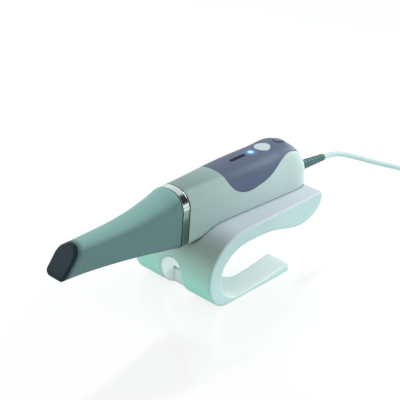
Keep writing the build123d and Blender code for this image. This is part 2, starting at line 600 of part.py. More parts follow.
def casing_parts():
    """White casing, slate cover and the trim and buttons set in it."""
    outer = casing(0)
    shell = outer - casing(CASING_WALL)
    lead_hole = Plane(LEAD_ROOT - LEAD_AXIS * GLAND_LENGTH, z_dir=LEAD_AXIS) * Cylinder(
        GLAND_RADIUS + SEAT_FIT, 2 * GLAND_LENGTH, align=ON_FOOT)
    body = shell - cover_prism() - lead_hole
    cover = shell & Pos(COVER_GAP, 0, COVER_GAP) * cover_prism()
    boss_z = BELLY_Z + CASING_WALL / 2
    for x, y in boss_places():
        body += upright(x, y, boss_z, BENCH_BOTTOM_Z - boss_z, BOSS_RADIUS)
        body -= upright(x, y, boss_z, BOSS_HEIGHT + CASING_WALL, SCREW_RADIUS)
    post_hole = SCREW_GRIP + SCREW_TIP_GAP + CUT_MARGIN
    for x, y in post_places():
        cover += upright(x, y, BUTTON_BOARD_Z, BODY_HEIGHT, POST_RADIUS) & outer
        cover -= upright(x, y, BUTTON_BOARD_Z - CUT_MARGIN, post_hole, SCREW_RADIUS)
    rear_hole = upright(REAR_BUTTON_X, 0, AXIS_Z, BODY_HEIGHT, REAR_BUTTON_RADIUS + BUTTON_FIT)
    bezel_outside = REAR_BUTTON_RADIUS + BUTTON_FIT + BEZEL_WIDTH
    bezel = (shell & upright(REAR_BUTTON_X, 0, AXIS_Z, BODY_HEIGHT, bezel_outside)) - rear_hole
    bezel_hole = upright(REAR_BUTTON_X, 0, AXIS_Z, BODY_HEIGHT, bezel_outside + SEAT_FIT)
    body -= bezel_hole
    cover -= bezel_hole
    cover -= upright(SCAN_BUTTON_X, 0, BUTTON_FOOT_Z, BODY_HEIGHT, SCAN_BUTTON_RADIUS + BUTTON_RIM_GAP)
    cover -= upright(LIGHT_X, 0, BUTTON_FOOT_Z, BODY_HEIGHT, LIGHT_RADIUS + SEAT_FIT)
    cover -= stadium(DISPLAY_X, DISPLAY_LENGTH + 2 * SEAT_FIT, DISPLAY_WIDTH + 2 * SEAT_FIT, BODY_HEIGHT)
    light_z = BUTTON_BOARD_Z + LED_HEIGHT + SEAT_FIT
    proud = casing(-BUTTON_PROUD)
    flange_top = CROWN_Z - CASING_WALL - 2 * SCAN_BUTTON_FLANGE
    scan = upright(SCAN_BUTTON_X, 0, flange_top - SCAN_BUTTON_FLANGE, BODY_HEIGHT, SCAN_BUTTON_RADIUS) & proud
    scan += upright(
        SCAN_BUTTON_X, 0, flange_top - SCAN_BUTTON_FLANGE, SCAN_BUTTON_FLANGE,
        SCAN_BUTTON_RADIUS + SCAN_BUTTON_FLANGE)
    scan += upright(SCAN_BUTTON_X, 0, BUTTON_FOOT_Z, flange_top - BUTTON_FOOT_Z, STEM_RADIUS)
    rear = upright(REAR_BUTTON_X, 0, BUTTON_FOOT_Z, BODY_HEIGHT, REAR_BUTTON_RADIUS) & proud
    return {
        "body_shell": body,
        "top_cover": cover,
        "status_window": shell & stadium(DISPLAY_X, DISPLAY_LENGTH, DISPLAY_WIDTH, BODY_HEIGHT),
        "status_light": outer & upright(LIGHT_X, 0, light_z, BODY_HEIGHT, LIGHT_RADIUS),
        "scan_button": scan,
        "rear_button": rear,
        "rear_button_bezel": bezel,
    }


def bench_parts():
    """Optical bench with its saddle, pedestal and standoffs, and its screws."""
    bench = block(BENCH_FRONT_X, 0, BENCH_BOTTOM_Z, BENCH_LENGTH, BENCH_WIDTH, BENCH_THICKNESS)
    saddle_x = BENCH_FRONT_X + SADDLE_FROM_FRONT
    saddle_height = AXIS_Z - BENCH_TOP_Z - BARREL_RADIUS / 2
    bench += block(saddle_x, 0, BENCH_TOP_Z, SADDLE_LENGTH, SADDLE_WIDTH, saddle_height)
    bench -= cylinder_along_x(saddle_x - CUT_MARGIN, SADDLE_LENGTH + 2 * CUT_MARGIN, BARREL_RADIUS + SEAT_FIT)
    bench += block(
        SPLITTER_X - SPLITTER_SIZE / 2, 0, BENCH_TOP_Z, SPLITTER_SIZE, SPLITTER_SIZE,
        AXIS_Z - SPLITTER_SIZE / 2 - BENCH_TOP_Z)
    hole_z = BENCH_TOP_Z + STANDOFF_HEIGHT - SCREW_GRIP - SEAT_FIT
    for x, y in standoff_places():
        bench += upright(x, y, BENCH_TOP_Z, STANDOFF_HEIGHT, STANDOFF_RADIUS)
        bench -= upright(x, y, hole_z, SCREW_GRIP + STANDOFF_HEIGHT, SCREW_RADIUS)
    screws = []
    for x, y in boss_places():
        bench -= through_hole(x, y, BENCH_BOTTOM_Z, BENCH_THICKNESS)
        screws.append(screw(x, y, BENCH_TOP_Z, 0))
    return {"optical_bench": bench, "bench_screws": Compound(children=screws)}


def lens(x, facing):
    """Plano-convex lens in the barrel, bulging forward where facing is -1 and backward where it is 1."""
    radius = BARREL_RADIUS - BARREL_WALL - SEAT_FIT
    ball_radius = (radius ** 2 + LENS_BULGE ** 2) / (2 * LENS_BULGE)
    ball = Pos(0, 0, LENS_THICKNESS - ball_radius) * Sphere(ball_radius)
    disc = upright(0, 0, 0, LENS_THICKNESS, radius)
    return Plane((x, 0, AXIS_Z), x_dir=(0, 1, 0), z_dir=(facing, 0, 0)) * (disc & ball)


def optics_parts():
    """Lens barrel, lenses, beam splitter, image sensor and light projector."""
    barrel = cylinder_along_x(BARREL_FRONT_X, BARREL_LENGTH, BARREL_RADIUS)
    barrel -= cylinder_along_x(
        BARREL_FRONT_X - CUT_MARGIN, BARREL_LENGTH + 2 * CUT_MARGIN, BARREL_RADIUS - BARREL_WALL)
    projector_y = SPLITTER_SIZE / 2 + PROJECTOR_GAP + PROJECTOR_LED_THICKNESS
    board_x = SPLITTER_X - PROJECTOR_BOARD_LENGTH / 2
    board_height = AXIS_Z + PROJECTOR_BOARD_REACH - BENCH_TOP_Z
    sink_z = AXIS_Z - PROJECTOR_BOARD_REACH
    sink_height = 2 * PROJECTOR_BOARD_REACH
    sink = block(
        board_x, projector_y + BOARD_THICKNESS + SINK_BASE / 2, sink_z,
        PROJECTOR_BOARD_LENGTH, SINK_BASE, sink_height)
    fin_pitch = (PROJECTOR_BOARD_LENGTH - SINK_FIN_THICKNESS) / (SINK_FINS - 1)
    for index in range(SINK_FINS):
        sink += block(
            board_x + index * fin_pitch, projector_y + BOARD_THICKNESS + SINK_DEPTH / 2, sink_z,
            SINK_FIN_THICKNESS, SINK_DEPTH, sink_height)
    return {
        "lens_barrel": barrel,
        "front_lens": lens(BARREL_FRONT_X + LENS_RECESS + LENS_THICKNESS, -1),
        "rear_lens": lens(BARREL_REAR_X - LENS_RECESS - LENS_THICKNESS, 1),
        "beam_splitter": block(
            SPLITTER_X - SPLITTER_SIZE / 2, 0, AXIS_Z - SPLITTER_SIZE / 2,
            SPLITTER_SIZE, SPLITTER_SIZE, SPLITTER_SIZE),
        "sensor_board": block(
            SENSOR_BOARD_X, 0, BENCH_TOP_Z, BOARD_THICKNESS, BENCH_WIDTH, SENSOR_BOARD_HEIGHT),
        "image_sensor": block(
            SENSOR_BOARD_X - SENSOR_THICKNESS, 0, AXIS_Z - SENSOR_SIZE / 2,
            SENSOR_THICKNESS, SENSOR_SIZE, SENSOR_SIZE),
        "projector_board": block(
            board_x, projector_y + BOARD_THICKNESS / 2, BENCH_TOP_Z,
            PROJECTOR_BOARD_LENGTH, BOARD_THICKNESS, board_height),
        "projector_led": block(
            SPLITTER_X - PROJECTOR_LED_SIZE / 2, projector_y - PROJECTOR_LED_THICKNESS / 2,
            AXIS_Z - PROJECTOR_LED_SIZE / 2, PROJECTOR_LED_SIZE, PROJECTOR_LED_THICKNESS, PROJECTOR_LED_SIZE),
        "heat_sink": sink,
    }


def board_parts():
    """Main board and button board with what is soldered or screwed to them."""
    board_z = MAIN_BOARD_TOP_Z - BOARD_THICKNESS
    main = block(
        MAIN_BOARD_FRONT_X, 0, board_z, BENCH_REAR_X - MAIN_BOARD_FRONT_X, MAIN_BOARD_WIDTH, BOARD_THICKNESS)
    main_screws = []
    for x, y in standoff_places():
        main -= through_hole(x, y, board_z, BOARD_THICKNESS)
        main_screws.append(screw(x, y, MAIN_BOARD_TOP_Z, 0))
    processor_x = (MAIN_BOARD_FRONT_X + BENCH_REAR_X - CONNECTOR_LENGTH - PROCESSOR_SIZE) / 2
    button_z = BUTTON_BOARD_Z - BOARD_THICKNESS
    buttons = block(
        BUTTON_BOARD_FRONT_X, 0, button_z, BUTTON_BOARD_REAR_X - BUTTON_BOARD_FRONT_X,
        BUTTON_BOARD_WIDTH, BOARD_THICKNESS)
    button_screws = []
    for x, y in post_places():
        buttons -= through_hole(x, y, button_z, BOARD_THICKNESS)
        button_screws.append(screw(x, y, button_z, 180))
    switches = []
    for x in (SCAN_BUTTON_X, REAR_BUTTON_X):
        base = block(x - SWITCH_SIZE / 2, 0, BUTTON_BOARD_Z, SWITCH_SIZE, SWITCH_SIZE, SWITCH_HEIGHT)
        switches.append(base + upright(x, 0, BUTTON_BOARD_Z, SWITCH_HEIGHT + PLUNGER_HEIGHT, PLUNGER_RADIUS))
    return {
        "main_board": main,
        "main_board_screws": Compound(children=main_screws),
        "main_processor": block(
            processor_x, 0, MAIN_BOARD_TOP_Z, PROCESSOR_SIZE, PROCESSOR_SIZE, PROCESSOR_THICKNESS),
        "cord_connector": block(
            BENCH_REAR_X - CONNECTOR_LENGTH, 0, MAIN_BOARD_TOP_Z,
            CONNECTOR_LENGTH, CONNECTOR_WIDTH, CONNECTOR_HEIGHT),
        "button_board": buttons,
        "button_board_screws": Compound(children=button_screws),
        "button_switches": Compound(children=switches),
        "status_led": block(LIGHT_X - LED_SIZE / 2, 0, BUTTON_BOARD_Z, LED_SIZE, LED_SIZE, LED_HEIGHT),
    }


def along(start, direction, length, radius, end_radius):
    """Round bar or cone from start along a direction."""
    if radius == end_radius:
        bar = Cylinder(radius, length, align=ON_FOOT)
    else:
        bar = Cone(radius, end_radius, length, align=ON_FOOT)
    return Plane(start, z_dir=direction) * bar


def outlet_parts():
    """Gland in the casing's rear face, grooved strain relief, and the lead's tail to the main board."""
    gland_inner = LEAD_ROOT - LEAD_AXIS * (GLAND_LENGTH - GLAND_OUTSIDE)
    gland = along(gland_inner, LEAD_AXIS, GLAND_LENGTH, GLAND_RADIUS, GLAND_RADIUS)
    boot_root = LEAD_ROOT + LEAD_AXIS * GLAND_OUTSIDE
    boot = along(boot_root, LEAD_AXIS, BOOT_LENGTH, BOOT_ROOT_RADIUS, BOOT_END_RADIUS)
    pitch = BOOT_LENGTH / (BOOT_GROOVES + 2)
    for index in range(BOOT_GROOVES):
        distance = pitch * (index + 2)
        radius = BOOT_ROOT_RADIUS + (BOOT_END_RADIUS - BOOT_ROOT_RADIUS) * distance / BOOT_LENGTH
        core = radius - BOOT_GROOVE_DEPTH
        start = boot_root + LEAD_AXIS * (distance - BOOT_GROOVE_WIDTH)
        groove = along(start, LEAD_AXIS, BOOT_GROOVE_WIDTH, BOOT_ROOT_RADIUS * 2, BOOT_ROOT_RADIUS * 2)
        groove -= along(start, LEAD_AXIS, BOOT_GROOVE_WIDTH, core, core)
        boot -= groove
    socket = Vector(BENCH_REAR_X, 0, MAIN_BOARD_TOP_Z + CONNECTOR_HEIGHT / 2)
    run = gland_inner - socket
    heading = run.normalized()
    tail = along(
        socket + heading * TAIL_GAP, heading, run.length - 2 * TAIL_GAP, TAIL_DIAMETER / 2, TAIL_DIAMETER / 2)
    return {"cable_gland": gland, "strain_relief": boot, "cord_tail": tail}


def coil_point(angle, radius, z):
    """Point beside the coil, by its angle about the coil's centre."""
    turn = math.radians(angle)
    return Vector(COIL_CENTRE[0] + radius * math.cos(turn), COIL_CENTRE[1] + radius * math.sin(turn), z)


def cord_route():
    """Lead from the strain relief, down to the floor and round into the coil's outer turn."""
    entry = coil_point(COIL_ENTRY_ANGLE, COIL_OUTER_TURN, COIL_BOTTOM_Z + CORD_DIAMETER / 2)
    turn = math.radians(COIL_ENTRY_ANGLE)
    tangent = Vector(-math.sin(turn), math.cos(turn), 0)
    start = [BOOT_END, BOOT_END + LEAD_AXIS * LEAD_STRAIGHT]
    fall = [Vector(*point) for point in LEAD_FALL]
    return start + fall + [entry - tangent * COIL_APPROACH, entry]


def tail_route():
    """Lead's far end: off the coil's top turn and down round its side to the plug."""
    top_z = COIL_BOTTOM_Z + COIL_HEIGHT - CORD_DIAMETER / 2
    drop = top_z - PLUG_HEIGHT / 2
    return [
        coil_point(COIL_ENTRY_ANGLE + turn, COIL_OUTER_TURN + out, top_z - drop * share)
        for turn, out, share in END_STEPS
    ]


def cord_tube(name, points):
    """Tube of the lead along straight runs joined by the largest tangent arcs that the runs allow."""
    radii = []
    for before, here, after in zip(points, points[1:], points[2:]):
        turn = math.radians((here - before).get_angle(after - here))
        shorter = min((here - before).length, (after - here).length)
        radii.append(ARC_SHARE * shorter / math.tan(turn / 2))
    print(name, "radii", [round(radius, 1) for radius in radii])
    print(name, "runs", [round((b - a).length, 1) for a, b in zip(points, points[1:])])
    path = FilletPolyline(*points, radius=radii)
    tube = sweep(Plane(path @ 0, z_dir=path % 0) * Circle(CORD_DIAMETER / 2), path=path)
    expected = path.length * math.pi * CORD_DIAMETER ** 2 / 4
    print(name, "length", round(path.length, 1), "volume share", round(tube.volume / expected, 4))
    return tube


def lead_parts():
    """The lead's tube, its coil, tie, far end and plug."""
    inside = COIL_RADIUS - COIL_HALF_BREADTH
    ring = RectangleRounded(2 * COIL_HALF_BREADTH, COIL_HEIGHT, CORD_DIAMETER / 2 - SEAT_FIT)
    ring = Pos(COIL_RADIUS, 0, COIL_BOTTOM_Z + COIL_HEIGHT / 2) * Rot(90, 0, 0) * ring
    coil = Pos(*COIL_CENTRE, 0) * revolve(ring, Axis.Z)
    tie_sag = inside - math.sqrt(inside ** 2 - (TIE_WIDTH / 2) ** 2)
    bundle = 2 * COIL_HALF_BREADTH + 2 * tie_sag + 2 * SEAT_FIT
    tie = Box(bundle + 2 * TIE_THICKNESS, TIE_WIDTH, COIL_HEIGHT + 2 * TIE_THICKNESS + 2 * SEAT_FIT)
    tie = fillet(tie.edges().filter_by(Axis.Y), TIE_ROUND)
    tie -= Box(bundle, TIE_WIDTH * 2, COIL_HEIGHT + 2 * SEAT_FIT)
    tie_middle = coil_point(TIE_ANGLE, COIL_RADIUS, COIL_BOTTOM_Z + COIL_HEIGHT / 2)
    tie = Pos(*tie_middle) * Rot(0, 0, TIE_ANGLE) * tie
    tail = tail_route()
    heading = (tail[-1] - tail[-2]).normalized()
    plug_plane = Plane(tail[-1], x_dir=heading.cross(Vector(0, 0, 1)), z_dir=heading)
    grip = extrude(RectangleRounded(PLUG_WIDTH, PLUG_HEIGHT, PLUG_EDGE), amount=PLUG_LENGTH)
    grip = fillet(grip.edges().group_by(Axis.Z)[0], PLUG_EDGE / 2)
    inner_width = SHELL_WIDTH - 2 * SHELL_WALL
    sleeve = Box(SHELL_WIDTH, SHELL_HEIGHT, SHELL_LENGTH, align=ON_FOOT)
    hollow = Box(inner_width, SHELL_HEIGHT - 2 * SHELL_WALL, SHELL_LENGTH, align=ON_FOOT)
    tongue = Box(inner_width, TONGUE_HEIGHT, SHELL_LENGTH - SHELL_WALL, align=ON_FOOT)
    tongue = Pos(0, SHELL_HEIGHT / 2 - SHELL_WALL - TONGUE_HEIGHT / 2, 0) * tongue
    shell = sleeve - Pos(0, 0, SHELL_WALL) * hollow + tongue
    return {
        "cord": cord_tube("cord", cord_route()),
        "cord_coil": coil,
        "cord_tie": tie,
        "cord_end": cord_tube("cord_end", tail),
        "plug_overmould": plug_plane * grip,
        "plug_shell": plug_plane * Pos(0, 0, PLUG_LENGTH) * shell,
    }


def main():
    """Makes every piece and writes it as a file of its own."""
    pieces = {"cradle": cradle()}
    groups = (
        tip_parts, nose_parts, casing_parts, bench_parts,
        optics_parts, board_parts, outlet_parts, lead_parts,
    )
    for group in groups:
        pieces.update(group())
    os.makedirs("parts", exist_ok=True)
    for name, shape in pieces.items():
        export_step(shape, f"parts/{name}.step")


main()
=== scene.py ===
import json
import math

import bpy
import numpy as np
from mathutils import Matrix, Vector


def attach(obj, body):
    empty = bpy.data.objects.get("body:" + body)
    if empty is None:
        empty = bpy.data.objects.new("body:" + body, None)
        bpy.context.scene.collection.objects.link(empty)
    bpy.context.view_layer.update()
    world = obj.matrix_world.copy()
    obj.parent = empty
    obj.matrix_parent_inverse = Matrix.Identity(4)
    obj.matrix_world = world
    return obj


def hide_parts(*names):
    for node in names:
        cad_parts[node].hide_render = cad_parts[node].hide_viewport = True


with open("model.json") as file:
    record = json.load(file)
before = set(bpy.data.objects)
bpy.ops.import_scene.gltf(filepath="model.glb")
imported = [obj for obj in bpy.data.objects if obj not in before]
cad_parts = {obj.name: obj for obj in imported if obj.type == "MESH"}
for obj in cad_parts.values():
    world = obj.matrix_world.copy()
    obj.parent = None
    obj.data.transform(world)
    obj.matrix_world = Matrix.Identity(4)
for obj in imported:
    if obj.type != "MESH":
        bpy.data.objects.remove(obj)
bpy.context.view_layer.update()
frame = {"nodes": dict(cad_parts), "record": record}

# Lead, in metres: where it leaves its boot, how it falls to the table, and the coil of what is put away
LEAD_DIAMETER = 0.0043
LEAD_DROOP = math.radians(4.5)
LEAD_AXIS = np.array([math.cos(LEAD_DROOP), 0.0, -math.sin(LEAD_DROOP)])
LEAD_ROOT = np.array([0.1216, 0.0, 0.05765])
GLAND_OUTSIDE = 0.003
BOOT_LENGTH = 0.035
BOOT_ROOT = LEAD_ROOT + LEAD_AXIS * GLAND_OUTSIDE
BOOT_END = BOOT_ROOT + LEAD_AXIS * BOOT_LENGTH
LEAD_STRAIGHT = 0.016
LEAD_FALL = np.array([
    (0.1943, -0.0045, 0.0450), (0.2163, -0.0155, 0.0345), (0.2393, -0.0265, 0.0250),
    (0.2593, -0.0360, 0.0130), (0.2763, -0.0445, 0.0052),
])
COIL_CENTRE = np.array([0.3133, -0.0300])
COIL_RADIUS = 0.023
COIL_LAYERS = 4
COIL_COLUMNS = (1, 0, -1)
COIL_ENTRY = 240.0
COIL_APPROACH = 0.009
COIL_FLOOR = 0.00345
COIL_STEPS = 16
COIL_STEP_SHARE = 0.3
END_STEPS = np.array([
    (26.0, 0.0020, 0.12), (52.0, 0.0053, 0.445), (78.0, 0.0068, 0.84),
    (104.0, 0.0088, 1.0), (122.0, 0.0118, 1.0),
])
PLUG_HALF_HEIGHT = 0.004

# Boot
BOOT_ROOT_RADIUS = 0.0044
BOOT_END_RADIUS = 0.0028
BOOT_GROOVES = 6
BOOT_GROOVE_DEPTH = 0.00045
BOOT_GROOVE_WIDTH = 0.0018
BOOT_ROUND = 0.0007
BOOT_RINGS = 260
BOOT_SIDES = 72

# Plug's grip: its rounded ends, waist and finger ribs, and how square its section is
PLUG_LENGTH = 0.032
PLUG_HALF_WIDTH = 0.0075
PLUG_ROUND = 0.0016
PLUG_WAIST = 0.0009
PLUG_RIB_DEPTH = 0.00028
PLUG_RIB_PITCH = 0.0028
PLUG_RIB_REACH = 0.3
PLUG_RIB_FADE = 4
PLUG_RIB_ON_TOP = 0.6
PLUG_POWER = 2 / 4.5
PLUG_RINGS = 220
PLUG_SIDES = 96

# Tie: how far its middle is from the bundle, how far round it runs, its lapped end, and how square it is
TIE_ANGLE = math.radians(100.0)
TIE_HALF_WIDTH = 0.004
TIE_THICKNESS = 0.0012
TIE_FROM_SIDE = TIE_THICKNESS * 0.75
TIE_FROM_TOP = TIE_THICKNESS * 0.55
TIE_HALF_THICK = TIE_THICKNESS * 0.45
TIE_TURNS = 1.12
TIE_LAP_FROM = 0.92
TIE_LAP_OVER = 0.08
TIE_POWER = 2 / 6.0
TIE_EDGE_POWER = 0.35
TIE_RINGS = 240
TIE_SIDES = 28

# Places of the controls on the casing
LIGHT_PLACE = (0.0712, 0.0)
LIGHT_RADIUS = 0.0024
GLOW_RADIUS = 0.0085
WINDOW_START = 0.0487
WINDOW_PITCH = 0.0027
BAR_HALF = 0.0009
BAR_FADED = 0.0012

# Cradle: the arch's half width, where its round top begins and how far back painted light makes it pale, the
# seat's height, the heights between which low tones give way to high ones, and how far tones are eased round
# its edges
ARCH_HALF = 0.011
ARCH_SPRING = 0.02
ARCH_PALE_TO = 0.026
SEAT_LEVEL = 0.03
CRADLE_LOW_TO_HIGH = (0.012, 0.05)
CRADLE_EASE = 0.0035

# Slanted end of the tip: where its plane meets the nose, how steep it is, how deep the cap is, and how far
# the painted shade beside it reaches
SLANT_FOOT = (-0.1216, 0.06305)
SLANT_ANGLE = math.radians(50.0)
CAP_DEPTH = 0.0025
CAP_SHADE_DEPTH = 0.0075

# Tones of the cradle, in linear light: lit and shaded copies of one milky plastic, picked by facing and
# height, with painted light inside the arch, a painted highlight on its low edges and painted shade in the
# seat's seam
WALL_HIGH = (0.38, 0.47, 0.42)
WALL_LOW = (0.38, 0.8, 0.67)
BED = (0.63, 0.71, 0.78)
PRONG_LIT = (0.88, 0.95, 0.95)
UPRIGHT_DEEP = (0.43, 0.63, 0.62)
UPRIGHT_PALE = (0.48, 0.67, 0.66)
UPRIGHT_LOW = (0.54, 0.79, 0.77)
ARCH_INSIDE_LIGHT = (0.88, 1.0, 0.97)
CRADLE_EDGE_HIGHLIGHT = (0.84, 0.95, 0.93)
CRADLE_SEAM_SHADE = (0.02, 0.03, 0.027)

# Tones of the casing, from its front, darker by painted shade, to its rear, and of the collar, the cover and
# the tip
CASING_FRONT_TO_REAR = (-0.02, 0.095)
CASING_FRONT_SHADED = (0.32, 0.45, 0.43)
CASING_REAR = (0.45, 0.59, 0.57)
CASING_DOME_LIT = (0.52, 0.64, 0.63)
CASING_CREST_SHADE = (0.14, 0.23, 0.24)
CASING_EDGE_HIGHLIGHT = (0.62, 0.8, 0.78)
CASING_SEAM_SHADE = (0.015, 0.022, 0.022)
COLLAR_DULL = (0.7, 0.84, 0.79)
COLLAR_BRIGHT = (0.8, 0.95, 0.9)
COLLAR_SIDE_REFLECTION = (0.27, 0.4, 0.35)
COLLAR_GAP_SHADE = (0.01, 0.014, 0.013)
SLATE_DEEP = (0.076, 0.106, 0.172)
SLATE_PALE = (0.09, 0.122, 0.196)
SLATE_REAR_LIT = (0.2, 0.25, 0.35)
SLATE_PEARL = (0.112, 0.15, 0.236)
TEAL_DEEP = (0.105, 0.21, 0.205)
TEAL_PALE = (0.125, 0.24, 0.235)
TEAL_TOP_LIT = (0.24, 0.46, 0.43)
TEAL_CAP_SHADE = (0.03, 0.06, 0.07)

# Tones of the light, the window, the glass, the boards and the tie
UNLIT = (0.0, 0.0, 0.0)
GLOW_BLUE = (0.08, 0.26, 0.7)
LENS_HOT = (0.55, 0.85, 1.0)
LENS_RIM = (0.03, 0.22, 0.95)
LENS_BODY = (0.2, 0.45, 0.9)
WINDOW_SMOKE = (0.02, 0.024, 0.045)
WINDOW_BAR = (0.006, 0.008, 0.016)
GLASS_WIPED = (0.9, 0.97, 0.95)
GLASS_CLEAR = (0.96, 1.0, 0.99)
MASK_GREEN = (0.016, 0.085, 0.05)
TRACK_GREEN = (0.05, 0.2, 0.11)
PAD_METAL = (0.55, 0.5, 0.36)
TRACKS_PER_METRE = 420.0
PADS_PER_METRE = 330.0
TIE_DEEP = (0.012, 0.014, 0.017)
TIE_LOOPS = (0.05, 0.055, 0.062)

# Plain plastics and rubbers: tones, gloss, grain, and where they have them a painted highlight on their edges
# or painted shade in their seams
PLASTICS = {
    "chip_black": dict(
        deep=(0.018, 0.018, 0.02), pale=(0.035, 0.035, 0.038), rough=0.55, spread=0.1, grain=5200.0,
        depth=0.00001),
    "boot_dark": dict(
        deep=(0.03, 0.105, 0.1), pale=(0.05, 0.145, 0.14), rough=0.5, spread=0.1, grain=2400.0, edge_highlight=0.4),
    "cord_grey": dict(
        deep=(0.38, 0.53, 0.53), pale=(0.45, 0.6, 0.6), rough=0.42, spread=0.1, grain=2000.0),
    "tip_dark": dict(
        deep=(0.008, 0.023, 0.031), pale=(0.012, 0.031, 0.039), rough=0.5, depth=0.00003, gleam=0.12),
    "button_white": dict(
        deep=(0.5, 0.59, 0.64), pale=(0.56, 0.65, 0.7), spread=0.06, grain=2800.0, depth=0.00001, coat=0.05,
        edge_highlight=0.7, seam_shade=0.0012),
    "button_slate": dict(
        deep=(0.09, 0.13, 0.2), pale=(0.11, 0.15, 0.23), spread=0.06, depth=0.00001, coat=0.1),
    "ring_dark": dict(deep=(0.016, 0.02, 0.034), pale=(0.03, 0.035, 0.055), rough=0.38, depth=0.00001),
    "snout_dark": dict(
        deep=(0.03, 0.036, 0.04), pale=(0.045, 0.052, 0.056), rough=0.5, depth=0.00003, edge_highlight=0.5),
    "barrel_black": dict(
        deep=(0.012, 0.012, 0.014), pale=(0.024, 0.024, 0.027), rough=0.45, spread=0.1, grain=3000.0,
        edge_highlight=0.6),
    "plug_dark": dict(
        deep=(0.035, 0.042, 0.046), pale=(0.055, 0.064, 0.068), rough=0.5, spread=0.1, grain=2400.0,
        depth=0.00003, edge_highlight=0.3),
    "led_white": dict(
        deep=(0.7, 0.68, 0.6), pale=(0.8, 0.79, 0.72), spread=0.06, grain=3000.0, depth=0.00001),
}

# Bare metals: tone, gloss, and how their drawn or turned lines are stretched
METALS = {
    "mirror_silver": dict(tone=(0.9, 0.92, 0.92), rough=0.03, stretch=(40.0, 40.0, 40.0), depth=0.000001),
    "bench_metal": dict(tone=(0.6, 0.62, 0.63), rough=0.36),
    "screw_steel": dict(tone=(0.55, 0.56, 0.57), rough=0.3, stretch=(3000.0, 3000.0, 200.0)),
    "gland_metal": dict(tone=(0.62, 0.7, 0.7), rough=0.22, stretch=(900.0, 60.0, 60.0)),
}

# Corners of a square about its middle
SQUARE = ((-1, -1), (1, -1), (1, 1), (-1, 1))

# Table: its extent, its white to the camera, the shade and the gloss on it, and what it throws back as light
TABLE_REACH = 6.0
TABLE_LEVEL = -0.0002
TABLE_WHITE = 0.92
TABLE_SHADE = (0.12, 0.12, 0.12)
TABLE_GLOSS = 0.12
TABLE_GLOSS_ROUGH = 0.12
TABLE_GLOSS_TINT = (0.9, 1.0, 0.97)
TABLE_BOUNCE = (0.8, 0.82, 0.82)

# Surround: its light and its gloss, how much each falls overhead, and the heights between which they fall
AMBIENT = 0.66
AMBIENT_FALL = 0.3
SHINE = 1.0
SHINE_FALL = 0.35
OVERHEAD = (0.1, 0.85)

# Lamps: place, aim, size and watts, and the one that gloss doesn't see
LAMPS = {
    "rear_light": ((0.42, -0.46, 0.24), (0.06, 0.0, 0.06), 0.3, 1.6),
    "dome_light": ((0.4, -0.06, 0.3), (0.1, 0.0, 0.06), 0.2, 0.85),
    "back_light": ((-0.3, 0.8, 0.45), (-0.03, 0.0, 0.06), 0.9, 7.0),
    "front_light": ((-0.8, -0.7, 0.6), (0.0, 0.0, 0.06), 0.9, 1.0),
}
HIDDEN_FROM_GLOSS = "rear_light"

# Black card: its middle, what it faces, half its side, and the share of that which is solid
CARD_MIDDLE = Vector((0.45, -0.4, 0.5))
CARD_AIM = Vector((-0.01, 0.0, 0.08))
CARD_HALF = 0.46
CARD_SOLID = 0.45
CARD_BLACK = (0.01, 0.01, 0.01)

# Camera
CAMERA_LENS = 108.0
CAMERA_SENSOR = 36.0
CAMERA_PLACE = (-0.5389, -0.5536, 0.4806)
CAMERA_RIGHT = Vector((0.7057, -0.7085, 0.0))
CAMERA_AHEAD = Vector((0.6270, 0.6246, -0.4655))


class Value:
    """A number or a colour that changes over a surface.

    Arithmetic on it adds the Math nodes that work it out.
    """

    def __init__(self, nodes, socket):
        self.nodes = nodes
        self.socket = socket

    def math(self, operation, *operands):
        return self.nodes.node("ShaderNodeMath", {"operation": operation}, dict(enumerate(operands)))

    def __add__(self, other):
        return self.math("ADD", self, other)

    def __radd__(self, other):
        return self.math("ADD", other, self)

    def __sub__(self, other):
        return self.math("SUBTRACT", self, other)

    def __rsub__(self, other):
        return self.math("SUBTRACT", other, self)

    def __mul__(self, other):
        return self.math("MULTIPLY", self, other)

    def __rmul__(self, other):
        return self.math("MULTIPLY", other, self)

    def __truediv__(self, other):
        return self.math("DIVIDE", self, other)

    def __rtruediv__(self, other):
        return self.math("DIVIDE", other, self)

    def __pow__(self, other):
        return self.math("POWER", self, other)

    def fraction(self):
        return self.math("FRACT", self)

    def larger(self, other):
        return self.math("MAXIMUM", self, other)

    def between(self, low, high):
        """Smooth step from 0 at low to 1 at high."""
        return self.nodes.node(
            "ShaderNodeMapRange", {"interpolation_type": "SMOOTHSTEP"},
            {"Value": self, "From Min": low, "From Max": high}, "Result")

    def stripe(self, low, high, soft):
        """1 between low and high, with soft sides."""
        return self.between(low, low + soft) * (1 - self.between(high - soft, high))


class Nodes:
    """A node tree that is written as plain expressions."""

    def __init__(self, tree):
        self.tree = tree

    def node(self, kind, settings, sockets, output=0):
        """Adds one node and gives one of its outputs.

        Its settings come first, then each socket gets a number or a link.
        """
        made = self.tree.nodes.new(kind)
        for key, value in settings.items():
            setattr(made, key, value)
        for key, value in sockets.items():
            self.feed(made.inputs[key], value)
        return Value(self, made.outputs[output])

    def feed(self, socket, value):
        if isinstance(value, Value):
            self.tree.links.new(value.socket, socket)
        elif socket.type == "RGBA":
            socket.default_value = (*value, 1.0)
        else:
            socket.default_value = value

    def mix(self, share, first, second):
        """Colour that goes from first to second with share."""
        return self.node("ShaderNodeMix", {"data_type": "RGBA"}, {0: share, 6: first, 7: second}, 2)


